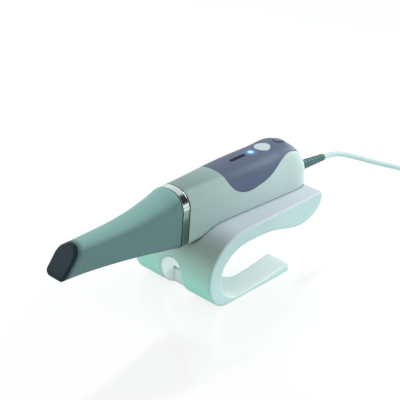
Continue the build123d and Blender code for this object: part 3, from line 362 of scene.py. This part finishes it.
class Finish(Nodes):
    """A procedural material on one Principled shader, read from Object coordinates."""

    def __init__(self, name):
        self.name = name
        self.material = bpy.data.materials.new(name)
        self.material.use_nodes = True
        super().__init__(self.material.node_tree)
        self.shader = self.tree.nodes["Principled BSDF"]
        self.place = self.node("ShaderNodeTexCoord", {}, {}, "Object")

    def set(self, **sockets):
        """Numbers, colours or links for the shader's sockets, with _ for the spaces in their names."""
        for key, value in sockets.items():
            self.feed(self.shader.inputs[key.replace("_", " ")], value)

    def axis(self, name):
        return self.node("ShaderNodeSeparateXYZ", {}, {"Vector": self.place}, name)

    def stretched(self, scale):
        return self.node("ShaderNodeMapping", {}, {"Vector": self.place, "Scale": scale})

    def noise(self, scale, detail=2.0, where=None):
        sockets = {"Vector": where or self.place, "Scale": scale, "Detail": detail}
        return self.node("ShaderNodeTexNoise", {}, sockets, "Fac")

    def drift(self, scale=24.0):
        """Slow change over a whole piece."""
        return self.noise(scale, 3.0)

    def cells(self, scale):
        return self.node("ShaderNodeTexVoronoi", {}, {"Vector": self.place, "Scale": scale}, "Distance")

    def grained(self, drift, fine, deep, pale):
        """Tone between deep and pale, mostly by a slow drift and a little by a fine grain."""
        return self.mix((0.7 * drift + 0.3 * fine).between(0.25, 0.75), deep, pale)

    def edge(self, radius):
        """1 near a convex or concave edge, from how far a rounded normal leans from the true one."""
        true = self.node("ShaderNodeNewGeometry", {}, {}, "Normal")
        lean = self.node(
            "ShaderNodeVectorMath", {"operation": "DOT_PRODUCT"}, {0: self.rounded(radius), 1: true}, "Value")
        return (1 - lean).between(0.01, 0.2)

    def rounded(self, radius):
        """The surface's normal, eased round each edge over a radius."""
        return self.node("ShaderNodeBevel", {"samples": 8}, {"Radius": radius})

    def facing(self, name, normal=None):
        """How far the surface's own normal, or an eased one, points along one axis, from -1 to 1."""
        normal = normal or self.node("ShaderNodeNewGeometry", {}, {}, "Normal")
        return self.node("ShaderNodeSeparateXYZ", {}, {"Vector": normal}, name)

    def crevice(self, reach):
        """1 deep in a seam or a gap, 0 on the open surface, found by ambient occlusion; it masks painted
        shade.
        """
        clear = self.node("ShaderNodeAmbientOcclusion", {"samples": 8}, {"Distance": reach}, "AO")
        return 1 - clear.between(0.2, 0.55)

    def from_light(self):
        """Level distance from the middle of the status light."""
        across = self.axis("X") - LIGHT_PLACE[0]
        aside = self.axis("Y") - LIGHT_PLACE[1]
        return (across * across + aside * aside) ** 0.5

    def bump(self, height, depth, **normal):
        """Raises the surface by a height times a depth.

        It is raised over its own normal, or over an eased one that is given as Normal.
        """
        raised = self.node("ShaderNodeBump", {}, {"Height": height, "Distance": depth, **normal})
        self.feed(self.shader.inputs["Normal"], raised)


def moulded(
        name, deep, pale, rough=0.4, spread=0.08, grain=2600.0, depth=0.00002, coat=0.0, edge_highlight=0.0, seam_shade=0.0,
        gleam=0.5):
    """Moulded plastic: slow drifts of tone, fine grain in gloss and height, a painted highlight on its edges
    and painted shade in its seams.
    """
    finish = Finish(name)
    fine = finish.noise(grain)
    colour = finish.grained(finish.drift(), fine, deep, pale)
    # Painted highlight: the edges are lightened as if light caught their rounding
    if edge_highlight:
        light = tuple(min(1.0, tone * 1.25 + 0.02) for tone in pale)
        colour = finish.mix(finish.edge(0.0006) * edge_highlight, colour, light)
    # Painted shade: seams and gaps are darkened where ambient occlusion finds them
    if seam_shade:
        dark = tuple(tone * 0.06 for tone in deep)
        colour = finish.mix(finish.crevice(seam_shade), colour, dark)
    smear = finish.noise(70.0, 4.0)
    finish.set(Base_Color=colour, Roughness=(rough - spread) + spread * (smear + fine), Coat_Weight=coat)
    finish.set(Coat_Roughness=0.12, Specular_IOR_Level=gleam)
    finish.bump(fine, depth)
    return finish


def metal(name, tone, rough, stretch=(60.0, 4000.0, 4000.0), depth=0.000004):
    """Bare metal: drawn or turned lines give its gloss and height, with faint stains."""
    finish = Finish(name)
    lines = finish.noise(1.0, 3.0, finish.stretched(stretch))
    stain = finish.drift(90.0)
    dull = tuple(part * 0.86 for part in tone)
    finish.set(Base_Color=finish.mix(stain.between(0.35, 0.7), dull, tone), Metallic=1.0)
    finish.set(Roughness=rough * 0.7 + rough * 0.4 * lines + 0.08 * stain)
    finish.bump(lines, depth)
    return finish


def collar_finish():
    """Turned and polished ring, with a painted darker and greener reflection on its upright sides and painted
    black shade on its rounded edges.
    """
    finish = Finish("collar_chrome")
    lines = finish.noise(1.0, 3.0, finish.stretched((700.0, 50.0, 50.0)))
    stain = finish.drift(90.0)
    turned = finish.facing("X")
    dark = (turned * turned).between(0.06, 0.3)
    tone = finish.mix(stain.between(0.35, 0.7), COLLAR_DULL, COLLAR_BRIGHT)
    # Painted reflection: faces that turn sideways or down are darker and greener
    tone = finish.mix(finish.facing("Z").between(0.0, 0.35), COLLAR_SIDE_REFLECTION, tone)
    # Painted shade: the rounded edges by the gaps are black and not metal
    finish.set(Base_Color=finish.mix(dark, tone, COLLAR_GAP_SHADE), Metallic=1 - dark)
    finish.set(Roughness=0.07 + 0.04 * lines + 0.05 * stain + 0.3 * dark)
    finish.bump(lines, 0.000001)
    return finish


def cradle_finish():
    """Milky satin plastic, as lit and shaded copies picked by facing and height: painted shade on the front
    wall, mint low and grey-green above it, and painted light that makes the bed and the prongs pale.

    Painted light makes the inside of the arch palest, a painted highlight lightens its low edges, painted
    shade darkens the seam round the seat, and tones pass softly round the edges.
    """
    finish = Finish("cradle_white")
    drift = finish.drift()
    fine = finish.noise(1800.0)
    low = 1 - finish.axis("Z").between(*CRADLE_LOW_TO_HIGH)
    wall = finish.mix(low, WALL_HIGH, WALL_LOW)
    level = finish.mix(low, BED, PRONG_LIT)
    upright = finish.mix(drift.between(0.3, 0.7), UPRIGHT_DEEP, UPRIGHT_PALE)
    upright = finish.mix(low, upright, UPRIGHT_LOW)
    eased = finish.rounded(CRADLE_EASE)
    # Painted light and shade: facing picks a lit pale copy on level faces, a shaded copy on the front wall
    # and a mid copy on upright faces
    tone = finish.mix(finish.facing("Z", eased).between(0.2, 0.8), upright, level)
    tone = finish.mix((0 - finish.facing("X", eased)).between(0.15, 0.75), tone, wall)
    # Painted light: the inside of the arch is made palest
    aside = finish.axis("Y")
    above = (finish.axis("Z") - ARCH_SPRING).larger(0.0)
    inside = 1 - (aside * aside + above * above).between((ARCH_HALF * 1.005) ** 2, (ARCH_HALF * 1.04) ** 2)
    inside = inside * (1 - finish.axis("X").between(ARCH_PALE_TO * 0.6, ARCH_PALE_TO))
    tone = finish.mix(inside, tone, ARCH_INSIDE_LIGHT)
    # Painted highlight: low edges are lightened
    tone = finish.mix(finish.edge(0.0014) * low * 0.3, tone, CRADLE_EDGE_HIGHLIGHT)
    # Painted shade in the seam round the seat
    seam_shade = finish.crevice(0.004) * finish.axis("Z").between(SEAT_LEVEL, SEAT_LEVEL * 1.2)
    finish.set(Base_Color=finish.mix(seam_shade, tone, CRADLE_SEAM_SHADE))
    finish.set(Roughness=0.36 + 0.08 * (drift + fine), Coat_Weight=0.02 + 0.04 * drift)
    finish.set(Coat_Roughness=0.2, Specular_IOR_Level=0.3)
    finish.bump(fine, 0.00001, Normal=eased)
    return finish


def cover_finish():
    """Slate lacquer with a fine pearl in tiny cells, and painted light that makes it paler where it turns
    down to the rear.

    The status light's glow falls off around its lens.
    """
    finish = Finish("cover_slate")
    drift = finish.drift(28.0)
    slate = finish.mix(drift.between(0.3, 0.7), SLATE_DEEP, SLATE_PALE)
    # Painted light: faces turned to the rear are paler
    slate = finish.mix(finish.facing("X").between(0.06, 0.4), slate, SLATE_REAR_LIT)
    finish.set(Base_Color=finish.mix(finish.cells(5200.0).between(0.0, 0.25), SLATE_PEARL, slate))
    finish.set(Roughness=0.46 + 0.1 * finish.noise(80.0, 4.0), Metallic=0.1, Coat_Weight=0.05 + 0.05 * drift)
    glow = 1 - finish.from_light().between(LIGHT_RADIUS * 0.8, GLOW_RADIUS)
    finish.set(Emission_Color=finish.mix(glow * glow, UNLIT, GLOW_BLUE))
    finish.set(Coat_Roughness=0.2, Emission_Strength=0.5, Specular_IOR_Level=0.35)
    finish.bump(finish.noise(2400.0), 0.000008)
    return finish


def tip_finish():
    """Satin grey-teal plastic, paler on top by painted light, and darkened by painted shade where it meets
    the slanted end cap.
    """
    finish = Finish("tip_grey")
    drift = finish.drift()
    fine = finish.noise(2200.0)
    teal = finish.grained(drift, fine, TEAL_DEEP, TEAL_PALE)
    # Painted shade beside the slanted end cap, by distance from its plane
    ahead = (finish.axis("Z") - SLANT_FOOT[1]) * math.cos(SLANT_ANGLE)
    depth = (finish.axis("X") - SLANT_FOOT[0]) * math.sin(SLANT_ANGLE) - ahead
    cap_shade = 1 - (depth + 0.001 * drift).between(CAP_DEPTH, CAP_SHADE_DEPTH)
    # Painted light: faces turned up are paler
    teal = finish.mix(finish.facing("Z").between(0.5, 0.95), teal, TEAL_TOP_LIT)
    finish.set(Base_Color=finish.mix(cap_shade * 0.85, teal, TEAL_CAP_SHADE))
    finish.set(Roughness=0.48 + 0.1 * (drift + fine), Coat_Weight=0.05 * drift)
    finish.set(Specular_IOR_Level=0.3)
    finish.bump(fine, 0.00002)
    return finish


def window_finish():
    """Smoked window with a row of unlit bars behind it, each a soft rectangle along the casing."""
    finish = Finish("window_dark")
    bar = ((finish.axis("X") - WINDOW_START) / WINDOW_PITCH).fraction().stripe(0.08, 0.84, 0.12)
    side = finish.axis("Y")
    inside = 1 - (side * side).between(BAR_HALF ** 2, BAR_FADED ** 2)
    dust = finish.drift(900.0)
    finish.set(Base_Color=finish.mix(bar * inside, WINDOW_SMOKE, WINDOW_BAR))
    finish.set(Roughness=0.4 + 0.2 * dust, Coat_Weight=0.05 * dust)
    finish.set(Specular_IOR_Level=0.05)
    finish.bump(dust, 0.000004)
    return finish


def light_finish():
    """Lit status lens: white hot in the middle, falling to blue at the rim by the distance from there."""
    finish = Finish("light_blue")
    out = finish.from_light() / LIGHT_RADIUS
    cloud = finish.noise(1400.0)
    glow = finish.mix((out + 0.2 * cloud).between(0.15, 1.0), LENS_HOT, LENS_RIM)
    finish.set(Base_Color=LENS_BODY, Emission_Color=glow, Roughness=0.2 + 0.1 * cloud)
    finish.set(Emission_Strength=1.6)
    return finish


def glass_finish():
    """Clear optical glass with a faint green body and a few wiping marks in its gloss."""
    finish = Finish("clear_glass")
    wipe = finish.noise(1.0, 3.0, finish.stretched((60.0, 700.0, 700.0)))
    finish.set(Base_Color=finish.mix(wipe, GLASS_WIPED, GLASS_CLEAR))
    finish.set(Roughness=0.015 + 0.05 * wipe)
    finish.set(Transmission_Weight=1.0, IOR=1.5)
    return finish


def board_finish():
    """Solder mask over copper: cells of tracks in two directions with round pads, seen as tone and height."""
    finish = Finish("board_green")
    warp = finish.noise(160.0)
    track = (finish.axis("X") * TRACKS_PER_METRE + warp * 2.0).fraction().stripe(0.4, 0.68, 0.06)
    cross = (finish.axis("Y") * TRACKS_PER_METRE + warp * 2.0).fraction().stripe(0.4, 0.68, 0.06)
    copper = track.larger(cross) * warp.between(0.42, 0.5)
    pad = 1 - finish.cells(PADS_PER_METRE).between(0.16, 0.2)
    mask = finish.mix(copper, MASK_GREEN, TRACK_GREEN)
    finish.set(Base_Color=finish.mix(pad * (1 - copper), mask, PAD_METAL))
    finish.set(Roughness=0.35 + 0.15 * warp, Metallic=pad * 0.8)
    finish.bump(copper + pad, 0.00002)
    return finish


def tie_finish():
    """Hook-and-loop strap: a fuzzy pile of tiny loops."""
    finish = Finish("tie_dark")
    loops = finish.cells(2600.0)
    fuzz = finish.noise(3800.0, 4.0)
    finish.set(Base_Color=finish.mix(loops.between(0.1, 0.6), TIE_DEEP, TIE_LOOPS))
    finish.set(Roughness=0.75 + 0.2 * fuzz)
    finish.bump(loops + 0.5 * fuzz, 0.00012)
    return finish


def casing_finish():
    """Satin off-white plastic, greyer towards the collar by painted shade and paler on the domed rear end by
    painted light.

    Painted shade darkens its crest towards the collar and its seams, and a painted highlight makes its edges
    pale.
    """
    finish = Finish("casing_white")
    drift = finish.drift()
    fine = finish.noise(2600.0)
    # Painted shade: darker towards the collar, paler towards the rear
    along = (finish.axis("X") + 0.01 * drift).between(*CASING_FRONT_TO_REAR)
    tone = finish.mix(along, CASING_FRONT_SHADED, CASING_REAR)
    # Painted light: faces turned to the rear are paler
    tone = finish.mix(finish.facing("X").between(0.2, 0.7), tone, CASING_DOME_LIT)
    # Painted shade: the crest is darker towards the collar
    tone = finish.mix(finish.facing("Z").between(0.84, 0.98) * (1 - along) * 0.6, tone, CASING_CREST_SHADE)
    # Painted highlight on the edges
    tone = finish.mix(finish.edge(0.0006) * 0.6, tone, CASING_EDGE_HIGHLIGHT)
    # Painted shade in seams and gaps
    finish.set(Base_Color=finish.mix(finish.crevice(0.0035), tone, CASING_SEAM_SHADE))
    finish.set(Roughness=0.4 + 0.06 * (drift + fine), Coat_Weight=0.04 * drift)
    finish.set(Specular_IOR_Level=0.35)
    finish.bump(fine, 0.000008)
    return finish


def all_finishes():
    """Every slot of the record by its name."""
    made = [
        cradle_finish(), cover_finish(), window_finish(), light_finish(), glass_finish(), board_finish(),
        tie_finish(), tip_finish(), casing_finish(), collar_finish(),
    ]
    made += [moulded(name, **look) for name, look in PLASTICS.items()]
    made += [metal(name, **look) for name, look in METALS.items()]
    return {finish.name: finish.material for finish in made}


def surface(name, rings, material):
    """Closed skin over a grid of rings.

    Each ring joins the next, and the first and the last close on their centres.
    """
    count, around, _ = rings.shape
    ends = np.stack([rings[0].mean(0), rings[-1].mean(0)])
    row = np.arange(count - 1)[:, None] * around
    here = np.arange(around)[None, :]
    after = (here + 1) % around
    walls = np.stack([row + here, row + after, row + around + after, row + around + here], -1).reshape(-1, 4)
    first = count * around
    low = np.stack([np.full(around, first), after[0], here[0]], -1)
    last = (count - 1) * around
    high = np.stack([np.full(around, first + 1), last + here[0], last + after[0]], -1)
    mesh = bpy.data.meshes.new(name)
    points = np.concatenate([rings.reshape(-1, 3), ends])
    mesh.from_pydata(points.tolist(), [], walls.tolist() + low.tolist() + high.tolist())
    mesh.polygons.foreach_set("use_smooth", np.ones(len(mesh.polygons), bool))
    mesh.materials.append(material)
    piece = bpy.data.objects.new(name, mesh)
    bpy.context.scene.collection.objects.link(piece)
    return piece


def frame_of(heading):
    """Unit vectors across and above a level or sloping heading."""
    across = np.cross(heading, (0.0, 0.0, 1.0))
    across = across / np.linalg.norm(across)
    return across, np.cross(across, heading)


def rounded_ends(along, radius):
    """How far quarter-round ends of one radius draw a profile in, at each place along it."""
    into_end = np.clip(radius - np.minimum(along, along[-1] - along), 0, None)
    return radius - np.sqrt(np.clip(radius ** 2 - into_end ** 2, 0, None))


def superellipse(turn, power):
    """Across and up on a unit superellipse: each angle's cosine and sine, their sizes raised to a power."""
    across, up = np.cos(turn), np.sin(turn)
    return np.sign(across) * np.abs(across) ** power, np.sign(up) * np.abs(up) ** power


def lead_boot(material):
    """Strain relief: a cone about the lead's axis.

    Its radius falls evenly along it, less raised-cosine grooves round it and quarter-round ends.
    """
    along = np.linspace(0.0, BOOT_LENGTH, BOOT_RINGS)
    radius = BOOT_ROOT_RADIUS + (BOOT_END_RADIUS - BOOT_ROOT_RADIUS) * along / BOOT_LENGTH
    pitch = BOOT_LENGTH / (BOOT_GROOVES + 2)
    middles = pitch * (np.arange(BOOT_GROOVES) + 2) - BOOT_GROOVE_WIDTH / 2
    off = np.abs(along[:, None] - middles[None, :]).min(1)
    dip = np.where(off < BOOT_GROOVE_WIDTH / 2, 0.5 + 0.5 * np.cos(2 * np.pi * off / BOOT_GROOVE_WIDTH), 0.0)
    radius = radius - BOOT_GROOVE_DEPTH * dip - rounded_ends(along, BOOT_ROUND)
    turn = np.linspace(0.0, 2 * np.pi, BOOT_SIDES, endpoint=False)
    across, above = frame_of(LEAD_AXIS)
    ring = np.cos(turn)[None, :, None] * across + np.sin(turn)[None, :, None] * above
    rings = BOOT_ROOT + along[:, None, None] * LEAD_AXIS + radius[:, None, None] * ring
    return surface("lead_boot", rings, material)


def coil_place(angle, radius, height):
    """Points about the coil's centre, by angle in degrees."""
    turn = np.radians(angle)
    level = [COIL_CENTRE[0] + radius * np.cos(turn), COIL_CENTRE[1] + radius * np.sin(turn)]
    return np.stack([*level, height + 0 * turn], -1)


def coil_turns():
    """Turns of the coil: layer on layer, each across its columns and back.

    Near its end a turn steps over to the next by a smooth step.
    """
    columns = np.tile([*COIL_COLUMNS, *COIL_COLUMNS[::-1]], COIL_LAYERS // 2)
    layers = np.repeat(np.arange(COIL_LAYERS), len(COIL_COLUMNS))
    columns = np.append(columns, columns[-1])
    layers = np.append(layers, layers[-1])
    count = np.arange(1, (len(columns) - 1) * COIL_STEPS + 1) / COIL_STEPS
    whole = np.minimum(np.ceil(count).astype(int) - 1, len(columns) - 2)
    share = np.clip((count - whole - 1 + COIL_STEP_SHARE) / COIL_STEP_SHARE, 0, 1)
    ease = share * share * (3 - 2 * share)
    column = columns[whole] * (1 - ease) + columns[whole + 1] * ease
    layer = layers[whole] * (1 - ease) + layers[whole + 1] * ease
    # A quadratic spline runs inside its control points, so they lie further out by this share
    inward = 0.75 + 0.25 * math.cos(2 * math.pi / COIL_STEPS)
    radius = (COIL_RADIUS + LEAD_DIAMETER * column) / inward
    return coil_place(COIL_ENTRY + 360.0 * count, radius, COIL_FLOOR + LEAD_DIAMETER * layer)


def lead_points():
    """The lead's line: straight out of its boot, down to the table, round its coil and on to its plug."""
    outer = COIL_RADIUS + LEAD_DIAMETER
    entry = coil_place(np.array([COIL_ENTRY]), outer, COIL_FLOOR)
    turn = math.radians(COIL_ENTRY)
    tangent = np.array([-math.sin(turn), math.cos(turn), 0.0])
    start = np.stack([BOOT_END, BOOT_END + LEAD_AXIS * LEAD_STRAIGHT])
    top = COIL_FLOOR + LEAD_DIAMETER * (COIL_LAYERS - 1)
    end = coil_place(
        COIL_ENTRY + END_STEPS[:, 0], outer + END_STEPS[:, 1],
        top + (PLUG_HALF_HEIGHT - top) * END_STEPS[:, 2])
    return np.concatenate([start, LEAD_FALL, entry - tangent * COIL_APPROACH, entry, coil_turns(), end])


def lead_curve(points, material):
    """The lead as one smooth open spline with the route's points as its control points."""
    curve = bpy.data.curves.new("lead", "CURVE")
    curve.dimensions = "3D"
    spline = curve.splines.new("NURBS")
    spline.points.add(len(points) - 1)
    spline.points.foreach_set("co", np.column_stack([points, np.ones(len(points))]).ravel())
    spline.order_u = 3
    spline.use_endpoint_u = True
    spline.resolution_u = 5
    curve.bevel_depth = LEAD_DIAMETER / 2
    curve.bevel_resolution = 6
    curve.use_fill_caps = True
    curve.materials.append(material)
    piece = bpy.data.objects.new("lead", curve)
    bpy.context.scene.collection.objects.link(piece)
    return piece


def plug_grip(root, heading, material):
    """Plug's grip: a superellipse along its heading, with rounded ends, a waist and shallow finger ribs.

    The waist is a squared sine along it, and the ribs are raised cosines that fade towards the ends.
    """
    along = np.linspace(0.0, PLUG_LENGTH, PLUG_RINGS)
    inset = rounded_ends(along, PLUG_ROUND)
    middle = np.clip(1 - np.abs(along / PLUG_LENGTH - 0.5) / PLUG_RIB_REACH, 0, 1)
    wave = 0.5 - 0.5 * np.cos(2 * np.pi * along / PLUG_RIB_PITCH)
    ribs = PLUG_RIB_DEPTH * np.clip(middle * PLUG_RIB_FADE, 0, 1) * wave
    waist = PLUG_WAIST * np.sin(np.pi * along / PLUG_LENGTH) ** 2
    flat, tall = superellipse(np.linspace(0.0, 2 * np.pi, PLUG_SIDES, endpoint=False), PLUG_POWER)
    across, above = frame_of(heading)
    half_width = (PLUG_HALF_WIDTH - inset - waist - ribs)[:, None, None]
    half_height = (PLUG_HALF_HEIGHT - inset - ribs * PLUG_RIB_ON_TOP)[:, None, None]
    rings = root + along[:, None, None] * heading
    rings = rings + half_width * flat[None, :, None] * across + half_height * tall[None, :, None] * above
    return surface("plug_grip", rings, material)


def lead_tie(material):
    """Strap round the coil's bundle: a flat rounded profile carried round a superellipse.

    It runs more than once round, and grows outward where its end laps over.
    """
    turn = np.linspace(0.0, 2 * np.pi * TIE_TURNS, TIE_RINGS)
    lap = TIE_THICKNESS * np.clip((turn - 2 * np.pi * TIE_LAP_FROM) / (2 * np.pi * TIE_LAP_OVER), 0, 1)
    half_wide = len(COIL_COLUMNS) / 2 * LEAD_DIAMETER + TIE_FROM_SIDE
    half_tall = COIL_LAYERS / 2 * LEAD_DIAMETER + TIE_FROM_TOP
    flat, tall = superellipse(turn, TIE_POWER)
    out = np.array([math.cos(TIE_ANGLE), math.sin(TIE_ANGLE), 0.0])
    up = np.array([0.0, 0.0, 1.0])
    side = np.cross(up, out)
    centre = np.array([*COIL_CENTRE, 0.0]) + COIL_RADIUS * out
    centre = centre + (COIL_FLOOR - LEAD_DIAMETER / 2 + COIL_LAYERS / 2 * LEAD_DIAMETER) * up
    line = centre + ((half_wide + lap) * flat)[:, None] * out + ((half_tall + lap) * tall)[:, None] * up
    run = np.gradient(line, axis=0)
    run = run / np.linalg.norm(run, axis=1)[:, None]
    normal = np.cross(run, side)
    wide, thick = superellipse(np.linspace(0.0, 2 * np.pi, TIE_SIDES, endpoint=False), TIE_EDGE_POWER)
    wide = TIE_HALF_WIDTH * wide
    thick = TIE_HALF_THICK * thick
    rings = line[:, None, :] + wide[None, :, None] * side + thick[None, :, None] * normal[:, None, :]
    return surface("lead_tie", rings, material)


def dress_frame(finishes):
    """Gives every CAD node its slot's finish."""
    for row in frame["record"]["subparts"]:
        node = frame["nodes"][row["node"]]
        node.data.materials.clear()
        node.data.materials.append(finishes[row["material_slot"]])


def studio_floor():
    """Pale glossy table: white to the camera, with the object's shadow and a faint reflection in it."""
    mesh = bpy.data.meshes.new("table")
    corners = [(TABLE_REACH * x, TABLE_REACH * y, TABLE_LEVEL) for x, y in SQUARE]
    mesh.from_pydata(corners, [], [(0, 1, 2, 3)])
    table = bpy.data.objects.new("table", mesh)
    bpy.context.scene.collection.objects.link(table)
    finish = Finish("table_white")
    path = finish.node("ShaderNodeLightPath", {}, {}, "Is Camera Ray")
    seen = finish.node("ShaderNodeEmission", {}, {"Color": (1.0, 1.0, 1.0), "Strength": TABLE_WHITE})
    lit = finish.node("ShaderNodeBsdfDiffuse", {}, {"Color": TABLE_SHADE})
    shown = finish.node("ShaderNodeAddShader", {}, {0: seen, 1: lit})
    gloss = finish.node(
        "ShaderNodeBsdfGlossy", {}, {"Color": TABLE_GLOSS_TINT, "Roughness": TABLE_GLOSS_ROUGH})
    shown = finish.node("ShaderNodeMixShader", {}, {0: TABLE_GLOSS, 1: shown, 2: gloss})
    plain = finish.node("ShaderNodeBsdfDiffuse", {}, {"Color": TABLE_BOUNCE})
    whole = finish.node("ShaderNodeMixShader", {}, {0: path, 1: plain, 2: shown})
    finish.tree.links.new(whole.socket, finish.tree.nodes["Material Output"].inputs["Surface"])
    mesh.materials.append(finish.material)


def studio_light():
    """White surround to the eye, dimmer overhead in gloss and as light, with soft lamps round the object."""
    world = bpy.data.worlds.new("surround")
    world.use_nodes = True
    bpy.context.scene.world = world
    nodes = Nodes(world.node_tree)
    seen = nodes.node("ShaderNodeLightPath", {}, {}, "Is Camera Ray")
    gloss = nodes.node("ShaderNodeLightPath", {}, {}, "Is Glossy Ray")
    through = nodes.node("ShaderNodeLightPath", {}, {}, "Is Transmission Ray")
    sharp = gloss.larger(through)
    heading = nodes.node("ShaderNodeTexCoord", {}, {}, "Generated")
    overhead = nodes.node("ShaderNodeSeparateXYZ", {}, {"Vector": heading}, "Z").between(*OVERHEAD)
    ambient = AMBIENT - AMBIENT_FALL * overhead
    shine = SHINE - SHINE_FALL * overhead
    background = world.node_tree.nodes["Background"]
    nodes.feed(background.inputs["Color"], (1.0, 1.0, 1.0))
    nodes.feed(background.inputs["Strength"], seen + (1 - seen) * (ambient + sharp * (shine - ambient)))
    for name, lamp in LAMPS.items():
        softbox(name, *lamp).visible_glossy = name != HIDDEN_FROM_GLOSS


def softbox(name, where, aim, size, power):
    """Square area lamp at one place, aimed at another."""
    lamp = bpy.data.lights.new(name, "AREA")
    lamp.shape = "SQUARE"
    lamp.size = size
    lamp.energy = power
    light = bpy.data.objects.new(name, lamp)
    heading = Vector(aim) - Vector(where)
    light.matrix_world = Matrix.Translation(where) @ heading.to_track_quat("-Z", "Y").to_matrix().to_4x4()
    bpy.context.scene.collection.objects.link(light)
    return light


def dark_card():
    """Black studio card that only gloss sees: it draws the dark corner on the metal collar."""
    mesh = bpy.data.meshes.new("dark_card")
    facing = (CARD_AIM - CARD_MIDDLE).to_track_quat("Z", "Y").to_matrix()
    corners = [CARD_MIDDLE + facing @ Vector((x * CARD_HALF, y * CARD_HALF, 0)) for x, y in SQUARE]
    mesh.from_pydata([tuple(corner) for corner in corners], [], [(0, 1, 2, 3)])
    card = bpy.data.objects.new("dark_card", mesh)
    bpy.context.scene.collection.objects.link(card)
    finish = Finish("card_black")
    away = finish.node(
        "ShaderNodeVectorMath", {"operation": "DISTANCE"}, {0: finish.place, 1: tuple(CARD_MIDDLE)}, "Value")
    solid = 1 - away.between(CARD_HALF * CARD_SOLID, CARD_HALF)
    finish.set(Base_Color=CARD_BLACK, Alpha=solid, Roughness=0.9)
    mesh.materials.append(finish.material)
    card.visible_camera = False
    card.visible_diffuse = False
    card.visible_transmission = False
    card.visible_shadow = False


def studio_camera():
    """Camera at the photograph's place: looking down on the nose end from the left."""
    data = bpy.data.cameras.new("camera")
    data.lens = CAMERA_LENS
    data.sensor_width = CAMERA_SENSOR
    camera = bpy.data.objects.new("camera", data)
    right = CAMERA_RIGHT.normalized()
    ahead = CAMERA_AHEAD.normalized()
    turn = Matrix((right, right.cross(ahead), -ahead)).transposed().to_4x4()
    camera.matrix_world = Matrix.Translation(CAMERA_PLACE) @ turn
    bpy.context.scene.collection.objects.link(camera)
    bpy.context.scene.camera = camera


def dress_lead(finishes):
    """Makes the lead with its boot, tie and plug, hangs them on the scanner's body and hides the CAD solids
    that they stand for.
    """
    points = lead_points()
    heading = points[-1] - points[-2]
    heading = heading / np.linalg.norm(heading)
    lead = lead_curve(points, finishes["cord_grey"])
    boot = lead_boot(finishes["boot_dark"])
    tie = lead_tie(finishes["tie_dark"])
    grip = plug_grip(points[-1], heading, finishes["plug_dark"])
    stands_for = (
        (lead, ("cord", "cord_coil", "cord_end"), "cord_grey"), (boot, ("strain_relief",), "boot_dark"),
        (tie, ("cord_tie",), "tie_dark"), (grip, ("plug_overmould",), "plug_dark"),
    )
    for piece, nodes, slot in stands_for:
        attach(piece, "scanner")
        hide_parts(*nodes)


finishes = all_finishes()
dress_frame(finishes)
studio_camera()
dress_lead(finishes)
studio_floor()
studio_light()
dark_card()
bpy.context.scene.view_settings.view_transform = "Standard"
